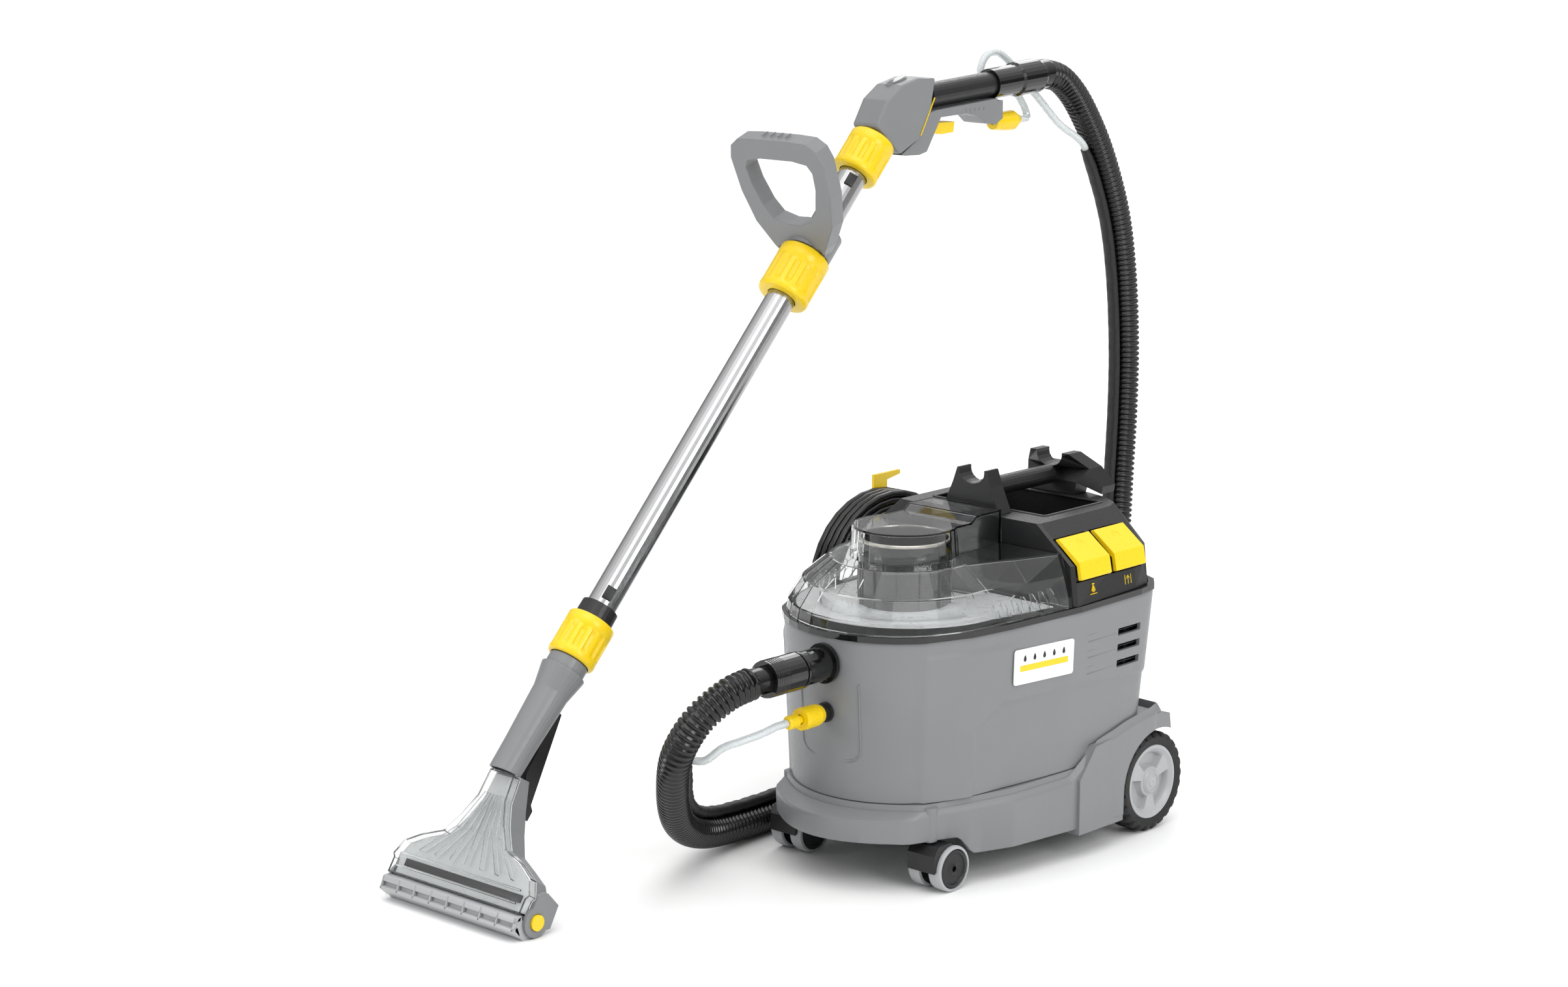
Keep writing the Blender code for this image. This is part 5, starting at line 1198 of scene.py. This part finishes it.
# ---- body -----------------------------------------------------------------------------------------
@dataclass(frozen=True)
class Tub:
    """Details on the body: the label, the vents, the front rib and the hose cuffs."""

    rake: float = 0.03
    nose: Point3 = (-0.268, 0.130, 0.139)

    def build(self) -> None:
        """Makes the details."""
        self.label()
        self.grooves()
        self.front_frame()
        self.sockets()

    def side_x(self, y: float, z: float) -> float:
        """Half width of the body's flat side.

        Args:
            y: place along the machine.
            z: height.

        Returns:
            The half width.
        """
        share = (z - 0.100) / 0.186
        half = 0.157 + 0.007 * share
        front = (0.130 + 0.009 * share) * 0.85 + half * 0.15
        if y < -0.150:
            return front + 0.0015 + (half - 0.005 - front) * (y + 0.256) / 0.106
        return half - 0.005 + 0.005 * (y + 0.150) / 0.106

    def label(self) -> None:
        """A rounded plate with one coloured stripe and a drop, and no lettering."""
        node = frame["nodes"]["label_plate"]
        bm = bmesh.new()
        bm.from_mesh(node.data)
        bmesh.ops.remove_doubles(bm, verts=bm.verts, dist=1e-6)
        bmesh.ops.dissolve_limit(bm, angle_limit=math.radians(2), verts=bm.verts, edges=bm.edges)
        corners = [e for e in bm.edges if e.calc_length() < 0.003]
        bmesh.ops.bevel(bm, geom=corners, offset=0.0035, affect="EDGES", segments=5, profile=0.5, material=-1)
        face = max(bm.faces, key=lambda f: f.calc_area() * f.normal.x)
        centre, normal = face.calc_center_median(), face.normal.copy()
        publish("rating_plate", bm, WHITE, Body.MACHINE, ("label_plate",), sharp=30)
        along = Vector((0, 0, 1)).cross(normal).normalized()
        up = normal.cross(along).normalized()
        turn = Matrix((along, up, normal)).transposed().to_4x4()
        place = Matrix.Translation(centre) @ turn
        stripe = slab([(-0.037, -0.0055), (0.037, -0.0055), (0.037, 0.0015), (-0.037, 0.0015)], -0.0002, 0.00025)
        publish("label_stripe", stripe, YELLOW, Body.MACHINE, (), place)
        drops = bmesh.new()
        for k in range(5):
            x = -0.030 + 0.015 * k
            drop = [(x + 0.0028 * math.sin(a) * (0.35 + 0.65 * math.sin(a / 2) ** 2),
                0.0094 - 0.0038 * math.cos(a - math.pi))
                    for a in (math.tau * i / 20 for i in range(20))]
            join(drops, slab(drop, -0.0002, 0.00025))
        publish("label_drops", drops, BLACK, Body.MACHINE, (), place)

    def grooves(self) -> None:
        """Louvres in front of the three vent slots."""
        bars = bmesh.new()
        for row in range(3):
            z = 0.216 + row * 0.019 + 0.0098
            for lift in (0.0, 0.0060):
                y0, y1 = -0.134, -0.0865
                x0, x1 = self.side_x(y0, z), self.side_x(y1, z)
                low = z - 0.0082 + lift * 1.35
                rise = 0.0009
                line = [(y0, low, x0), (y1, low + 0.0014, x1), (y1, low + 0.0026, x1), (y0, low + 0.0006, x0)]
                loops = [[Vector((x + out, y, h)) for y, h, x in line] for out in (-0.0010, rise)]
                one = bmesh.new()
                add_loops(one, loops)
                join(bars, one)
        publish("vent_ribs", bars, GREY, Body.MACHINE, (), TO_MACHINE)
        fins = bmesh.new()
        for row in range(3):
            low = 0.216 + row * 0.019
            join(fins, block((0.1502, -0.0812, low + 0.0034), (0.1566, -0.0408, low + 0.0048), 0.0004))
            join(fins, block((0.1502, -0.0620, low - 0.0004), (0.1560, -0.0606, low + 0.0089), 0.0004))
        publish("vent_fins", fins, BLACK, Body.MACHINE, (), TO_MACHINE)

    def front_frame(self) -> None:
        """The raised U-shaped rib round the front recess, below the hose sockets."""
        centre_y, low_r, high_r = self.nose
        half, low, high, corner = 0.043, 0.146, 0.236, 0.016
        line = [(-half, high)] + [
            (-half + corner - corner * math.cos(a), low + corner - corner * math.sin(a))
            for a in (math.radians(90 * i / 8) for i in range(9))
        ]
        line = line + [(-x, z) for x, z in reversed(line)]
        path = []
        for x, z in line:
            share = (z - 0.100) / 0.186
            r = low_r + (high_r - low_r) * share + 0.0002
            path.append(MACHINE + Vector((x, centre_y - math.sqrt(r * r - x * x), z + self.rake * 0.004)))
        fine = [a.lerp(b, k / 4) for a, b in zip(path, path[1:]) for k in range(4)] + [path[-1]]
        bm = swept(fine, lambda i: ring_of(0.0011, 0.0011, 10), Vector((0, -1, 0)))
        publish("front_rib", bm, GREY, Body.MACHINE)

    def sockets(self) -> None:
        """Ridges on the hose cuffs, and a bead round the suction cuff's swivel."""
        forward = TO_MACHINE @ Matrix.Translation((0, 0, 0.256)) @ Matrix.Rotation(math.pi / 2, 4, "X")
        ridges = bmesh.new()
        for k in range(6):
            h = 0.484 + 0.0034 * k
            join(ridges,
                revolved([(0.0204, h - 0.0011), (0.0213, h - 0.0005), (0.0213, h + 0.0005), (0.0204, h + 0.0011)], 56))
        publish("cuff_ridges", ridges, GLOSS_BLACK, Body.MACHINE, (), forward)
        lip = [(0.0190, 0.4490), (0.0209, 0.4495), (0.0212, 0.4515), (0.0209, 0.4535), (0.0190, 0.4540)]
        publish("swivel_bead", revolved(lip, 56), GLOSS_BLACK, Body.MACHINE, (), forward)


# ---- lid ------------------------------------------------------------------------------------------
class Lid:
    """Ribs, fins and the inlet duct seen through the clear lid."""

    def build(self) -> None:
        """Makes the details."""
        fins = bmesh.new()
        for k in range(7):
            y = -0.176 - 0.0155 * k
            half = 0.1515 - 0.0006 * k - max(0, k - 4) * 0.0022
            outline = [
                (half - 0.016, 0.297 + 0.03 * 0.24), (half - 0.0048, 0.297 + 0.03 * 0.24), (half - 0.0070, 0.311),
                (half - 0.0165, 0.3225 - 0.0008 * k), (half - 0.0210, 0.3215 - 0.0008 * k),
            ]
            for side in (1, -1):
                flank = [(side * x, z) for x, z in (outline if side > 0 else outline[::-1])]
                join(fins, slab(flank, -0.0007, 0.0007),
                    Matrix.Translation((0, y, 0)) @ Matrix.Rotation(math.pi / 2, 4, "X"))
        publish("lid_fins", fins, CLEAR, Body.LID, (), TO_MACHINE)
        outer = self.wall_line()
        inner = [(x * 0.985, y + 0.0010) for x, y in outer]
        wall = slab(outer + inner[::-1], 0.301, 0.3235)
        publish("lid_rib", wall, CLEAR, Body.LID, (), TO_MACHINE)
        plan = [
            (0.124 * math.sin(a), -0.268 - 0.124 * math.cos(a))
            for a in (math.radians(-90 + 180 * k / 40) for k in range(41))
        ] + [(0.140, -0.176), (-0.140, -0.176)]
        publish("tank_deck", slab(plan, 0.3000, 0.3016, 0.0005, 2), NATURAL, Body.LID, (), TO_MACHINE)
        centre = Matrix.Translation((0, -0.271, 0))
        ring = [(0.0485, 0.3742), (0.0513, 0.3742), (0.0516, 0.3765), (0.0508, 0.3776), (0.0488, 0.3776),
            (0.0482, 0.3765)]
        publish("separator_lip", revolved(ring, 64), BRASS, Body.LID, (), TO_MACHINE @ centre)
        vanes = bmesh.new()
        for k in range(12):
            turn = Matrix.Rotation(math.tau * k / 12, 4, "Z")
            join(vanes, block((0.0512, -0.0006, 0.302), (0.0535, 0.0006, 0.352), 0.0002), turn)
        publish("separator_vanes", vanes, GLOSS_BLACK, Body.LID, (), TO_MACHINE @ centre)

    @staticmethod
    def wall_line() -> list[Point2]:
        """Plan of the curved inner rib, concentric with the nose."""
        return [
            (0.098 * math.sin(a), -0.268 - 0.098 * math.cos(a))
            for a in (math.radians(-84 + 168 * k / 28) for k in range(29))
        ]


# ---- head -----------------------------------------------------------------------------------------
@dataclass(frozen=True)
class Head:
    """Switch faces, symbols and the tray's rim."""

    bend: Point2 = (0.1550, 0.347)
    crown: Point2 = (0.104, 0.389)

    def build(self) -> None:
        """Makes the details."""
        bend = Vector(self.bend)
        slope = (Vector(self.crown) - bend).normalized()
        out = Vector((slope.y, -slope.x))
        for name, y, body in (("spray", -0.127, Body.SPRAY_SWITCH), ("suction", -0.062, Body.SUCTION_SWITCH)):
            foot = bend + slope * 0.024 + out * 0.0064
            face = facing(foot, slope, out, y)
            symbol = bmesh.new()
            gap = [
                Vector((0.0056 * math.sin(a), 0.0056 * math.cos(a)))
                for a in (math.radians(28 + 304 * k / 26) for k in range(27))
            ]
            far = [p * 0.80 for p in gap]
            join(symbol, slab([tuple(p) for p in gap] + [tuple(p) for p in reversed(far)], -0.0006, 0.0003, 0.0001, 1))
            join(symbol,
                slab([(-0.0006, 0.001), (0.0006, 0.001), (0.0006, 0.0074), (-0.0006, 0.0074)], -0.0006, 0.0003,
                0.0001, 1))
            publish(f"{name}_switch_symbol", symbol, YELLOW, body, (), TO_MACHINE @ face)
        self.pictograms()
        self.tray_rim()

    def pictograms(self) -> None:
        """One generic line symbol under each switch."""
        signs = bmesh.new()
        low = Vector((0.1603, 0.3075))
        high = Vector((0.1572, 0.3315))
        slope = (high - low).normalized()
        out = Vector((slope.y, -slope.x))
        for y, rows in ((-0.127, self.drops()), (-0.062, self.arrow())):
            foot = low.lerp(high, 0.42) + out * 0.0004
            face = facing(foot, slope, out, y)
            for outline in rows:
                join(signs, slab(outline, -0.0012, 0.0002), face)
        publish("panel_symbols", signs, YELLOW, Body.MACHINE, (), TO_MACHINE)

    @staticmethod
    def bar(a: Point2, b: Point2, width: float = 0.0007) -> list[Point2]:
        """A stroke between two points.

        Args:
            a: where it starts.
            b: where it ends.
            width: how thick it is.

        Returns:
            Its outline.
        """
        along = (Vector(b) - Vector(a)).normalized() * width / 2
        side = Vector((-along.y, along.x))
        start, end = Vector(a), Vector(b)
        return [tuple(start - side), tuple(end - side), tuple(end + side), tuple(start + side)]

    def drops(self) -> list[list[Point2]]:
        """A fan of strokes over a line."""
        rays = [((0.0, 0.004), (0.0055 * math.sin(a), 0.004 - 0.0085 * math.cos(a))) for a in (-0.6, -0.2, 0.2, 0.6)]
        return [self.bar(a, b)
            for a, b in rays] + [self.bar((-0.0062, -0.0062), (0.0062, -0.0062)),
            self.bar((-0.002, 0.0052), (0.002, 0.0052), 0.0014)]

    def arrow(self) -> list[list[Point2]]:
        """An arrow rising between two walls."""
        return [
            self.bar((0.0, -0.006), (0.0, 0.003)), self.bar((-0.0028, 0.0005), (0.0001, 0.0042)),
            self.bar((0.0028, 0.0005), (-0.0001, 0.0042)), self.bar((-0.0055, -0.006), (-0.0055, 0.005)),
            self.bar((0.0055, -0.006), (0.0055, 0.005)),
        ]

    def tray_rim(self) -> None:
        """A soft bead along the tray's edge."""
        half, front, rear, z, c = 0.084, -0.122, -0.014, 0.389, 0.004
        line = []
        for cx, cy, start in ((half, rear, 0), (-half, rear, 90), (-half, front, 180), (half, front, 270)):
            sx, sy = (1 if cx > 0 else -1), (1 if cy == rear else -1)
            for k in range(5):
                a = math.radians(start + 22.5 * k)
                line.append(MACHINE + Vector((cx - sx * c + c * math.cos(a), cy - sy * c + c * math.sin(a), z)))
        loops, count = [], len(line)
        bm = bmesh.new()
        for i, here in enumerate(line):
            along = (line[(i + 1) % count] - line[i - 1]).normalized()
            across = along.cross(Vector((0, 0, 1)))
            loops.append([here + across * u + Vector((0, 0, v)) for u, v in ring_of(0.0022, 0.0016, 10)])
        add_loops(bm, loops, closed=True)
        publish("tray_bead", bm, BLACK, Body.MACHINE)


# ---- wand -----------------------------------------------------------------------------------------
@dataclass(frozen=True)
class Wand:
    """Fluted union nuts and the small details of the handles."""

    tube_r: float = 0.0175
    nuts: tuple[tuple[str, Body, float, float, float, float], ...] = (
        ("lower", Body.LOWER_NUT, 0.0, 0.053, 0.0285, 0.0238),
        ("middle", Body.MIDDLE_NUT, 0.508, 0.062, 0.0315, 0.0182),
        ("upper", Body.UPPER_NUT, 0.691, 0.053, 0.0285, 0.0182),
    )

    def build(self) -> None:
        """Makes the details."""
        for word, body, start, length, radius, bore in self.nuts:
            self.nut(word, body, start, length, radius, bore)
        self.clips()
        self.loop_ticks()
        self.grip()

    def nut(self, word: str, body: Body, start: float, length: float, radius: float, bore: float) -> None:
        """A nut with a plain band above and fourteen long flutes below.

        Args:
            word: which nut.
            body: what it rides on.
            start: where it begins along the tube.
            length: how long it is.
            radius: its outside radius.
            bore: its inside radius.
        """
        top = start + length
        band = top - length * 0.27
        count = 14
        flute = [(radius - 0.0002, band - 0.0022 - (band - start - 0.0125) * k / 10) for k in range(11)]
        profile = [
            (bore, top), (radius - 0.0030, top), (radius - 0.0012, top - 0.0006), (radius - 0.0002, top - 0.0022),
            (radius - 0.0002, band + 0.0010), (radius - 0.0008, band), *flute, (radius - 0.0002, start + 0.0085),
            (radius, start + 0.0075), (radius, start + 0.0036), (radius - 0.0010, start + 0.0012),
            (radius - 0.0030, start),
            (bore, start),
        ]

        def cut(r: float, h: float, angle: float) -> Point2:
            """Cuts the gaps between the flutes."""
            if r < radius - 0.0012 or not start + 0.0095 < h < band - 0.0010:
                return r, h
            ends = min(1.0, (h - start - 0.0095) / 0.0030, (band - 0.0010 - h) / 0.0030)
            return r - 0.0026 * max(0.0, ends) * (1.0 - pulse(angle, count, 0.52, 0.45)), h

        publish(
            f"union_nut_{word}", revolved(profile, count * 14, cut), YELLOW, body, (f"{word}_nut",),
            WAND, 42
        )

    def clips(self) -> None:
        """Small black latch windows at both ends of the tube."""
        for name, s in (("lower", 0.086), ("upper", 0.676)):
            shape = block((-0.0055, -0.0016, -0.0080), (0.0055, 0.0010, 0.0080), 0.0006)
            place = WAND @ Matrix.Rotation(math.radians(48), 4, "Z") @ Matrix.Translation((0, -self.tube_r, s))
            publish(f"tube_latch_{name}", shape, BLACK, Body.MACHINE, (), place)

    def loop_ticks(self) -> None:
        """Short grip ridges on the loop's crown."""
        low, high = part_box("d_handle")
        y, z = low.y + 0.004, high.z
        ticks = bmesh.new()
        centre = MACHINE.x + WAND_X
        for k in range(4):
            x = centre - 0.018 + 0.012 * k
            join(ticks, block((x - 0.0008, -0.0050, -0.0008), (x + 0.0008, 0.0050, 0.0006), 0.0003))
        turn = Matrix.Translation((0, y + 0.0065, z - 0.0012)) @ Matrix.Rotation(math.radians(21.7), 4, "X")
        publish("loop_ticks", ticks, GREY, Body.LOOP, (), turn)

    def grip(self) -> None:
        """The elbow's window and accent lines, and ticks on the lower shell."""
        side = WAND_X + 0.021
        base = TO_MACHINE
        window = [(0.0150 * math.cos(a), 0.0056 * math.sin(a)) for a in (math.tau * k / 36 for k in range(36))]
        frame_ring = [(u * 1.16, v * 1.32) for u, v in window]
        top = base @ Matrix.Translation((WAND_X, -0.0420, 0.8664)) @ Matrix.Rotation(math.radians(14), 4, "X")
        turned = top @ Matrix.Rotation(math.pi / 2, 4, "Z")
        publish("elbow_window_frame", slab(frame_ring, -0.0040, 0.0004, 0.0003, 2), GREY, Body.MACHINE, (),
            turned)
        publish("elbow_window", slab(window, -0.0010, 0.0011, 0.0004, 2), CLEAR, Body.MACHINE, (), turned)
        line = [(-0.0205, 0.8000), (-0.0193, 0.8000), (0.0062, 0.8440), (0.0048, 0.8440)]
        loops = [[Vector((side + out, y, z)) for y, z in line] for out in (-0.0010, 0.0003)]
        stripe = bmesh.new()
        add_loops(stripe, loops)
        publish("elbow_line", stripe, YELLOW, Body.MACHINE, (), base)
        ticks = bmesh.new()
        for k in range(5):
            y = 0.070 + 0.0085 * k
            for flank in (1, -1):
                x = WAND_X + flank * 0.0170
                join(ticks, block((x - 0.0005, y - 0.0007, 0.8225), (x + 0.0005, y + 0.0007, 0.8262), 0.0002))
        publish("shell_ticks", ticks, GREY, Body.MACHINE, (), base)


# ---- nozzle ---------------------------------------------------------------------------------------
@dataclass(frozen=True)
class Nozzle:
    """The clear fan cover, its guides and slot, and the ribbed lip."""

    half: float = 0.1075
    top_half: float = 0.0195
    depth: float = 0.012
    top: float = 0.127

    def outline(self, inset: float = 0.0) -> list[Point2]:
        """The fan seen from the front.

        Args:
            inset: how far it is pulled in.

        Returns:
            Its outline.
        """
        half, top = self.half, self.top_half
        right = [
            (half, -0.016), (half, 0.001), (half + 0.0035, 0.006), (half - 0.006, 0.024), (half * 0.74, 0.036),
            (half * 0.47, 0.047), (half * 0.32, 0.070), (top + 0.003, 0.095), (top, self.top),
        ]
        points = [Vector(p) for p in right + [(-u, v) for u, v in reversed(right)]]
        if not inset:
            return [tuple(p) for p in points]
        moved = []
        for before, here, after in zip([points[-1], *points], points, points[1:] + points[:1]):
            a, b = (here - before).normalized(), (after - here).normalized()
            normal = (Vector((-a.y, a.x)) + Vector((-b.y, b.x))).normalized()
            moved.append(here + normal * inset / max(0.4, normal.dot(Vector((-a.y, a.x)))))
        return [tuple(p) for p in moved]

    def build(self) -> None:
        """Makes the details."""
        self.cover()
        self.guides()
        self.lip()

    def cover(self) -> None:
        """A hollow clear shell, open towards the back."""
        bm = bmesh.new()
        outer, inner, rounded = self.outline(), self.outline(0.0022), self.outline(0.0012)
        rings = [
            [Vector((u, v, -0.0026)) for u, v in inner], [Vector((u, v, -self.depth)) for u, v in inner],
            [Vector((u, v, -self.depth)) for u, v in outer], [Vector((u, v, -0.0012)) for u, v in outer],
            [Vector((u, v, 0.0)) for u, v in rounded],
        ]
        add_loops(bm, rings)
        publish("fan_cover", bm, CLEAR, Body.MACHINE, ("nozzle_cover",), FAN, 30)

    def guides(self) -> None:
        """Fins that spread the air, a pale liner and the suction slot behind the cover, and two beads on its face."""
        fins = bmesh.new()
        for k in range(7):
            share = (k - 3) / 3
            low, high = Vector((share * 0.074, 0.017)), Vector((share * 0.0135, 0.100))
            middle = Vector((share * 0.034, 0.055))
            for a, b in ((low, middle), (middle, high)):
                side = Vector((-(b - a).y, (b - a).x)).normalized() * 0.0006
                join(fins,
                    slab([tuple(a - side), tuple(b - side), tuple(b + side), tuple(a + side)][::-1], -0.0090, -0.0026))
        publish("fan_fins", fins, CLEAR, Body.MACHINE, (), FAN)
        liner = slab(self.outline(0.0030), -0.0119, -0.0110, 0.0002, 1)
        publish("fan_liner", liner, NATURAL, Body.MACHINE, (), FAN)
        slot = slab([(-0.094, -0.0035), (0.094, -0.0035), (0.094, 0.0050), (-0.094, 0.0050)], -0.0108, -0.0085, 0.0004)
        publish("fan_slot", slot, BLACK, Body.MACHINE, (), FAN)
        bead = bmesh.new()
        for v in (-0.0062, 0.0085):
            join(bead,
                slab([(-0.097, v - 0.0011), (0.097, v - 0.0011), (0.097, v + 0.0011), (-0.097, v + 0.0011)], -0.0003,
                0.0012, 0.0005))
        publish("cover_beads", bead, CLEAR, Body.MACHINE, (), FAN)

    def lip(self) -> None:
        """The lip's windows between upright ribs."""
        half = 0.1077
        bm = bmesh.new()
        core = [(-0.7800, 0.0140), (-0.7752, 0.0262), (-0.7700, 0.0285), (-0.7664, 0.0116), (-0.7560, 0.0055),
            (-0.7560, 0.0), (-0.7690, 0.0)]
        middle = TO_MACHINE @ Matrix.Translation((WAND_X, 0, 0)) @ along_x()
        join(bm, slab(core[::-1], -half, half, 0.0003, 1))
        rail = [(-0.7785, 0.0285), (-0.7700, 0.0285), (-0.7718, 0.0232), (-0.7812, 0.0225)]
        join(bm, slab(rail, -half, half, 0.0005, 2))
        foot = [(-0.7850, 0.0140), (-0.7838, 0.0168), (-0.7760, 0.0175), (-0.7730, 0.0080), (-0.7745, 0.0048)]
        join(bm, slab(foot, -half, half, 0.0005, 2))
        rib = [(-0.7846, 0.0150), (-0.7790, 0.0278), (-0.7740, 0.0278), (-0.7760, 0.0120)]
        for k in range(9):
            x = -half + 0.0009 + (2 * half - 0.0018) * k / 8
            join(bm, slab(rib, x - 0.0008, x + 0.0008))
        publish("ribbed_lip", bm, LIGHT_GREY, Body.LIP, ("nozzle_lip",), middle, 40)


def main() -> None:
    """Dresses the machine and sets the studio."""
    logging.basicConfig(level=logging.INFO, format="%(message)s")
    finish_solids()
    Studio().build()
    Cords().build()
    Mouldings().build()
    RunningGear().build()
    Tub().build()
    Lid().build()
    Head().build()
    Wand().build()
    Nozzle().build()


if __name__ == "__main__":
    main()
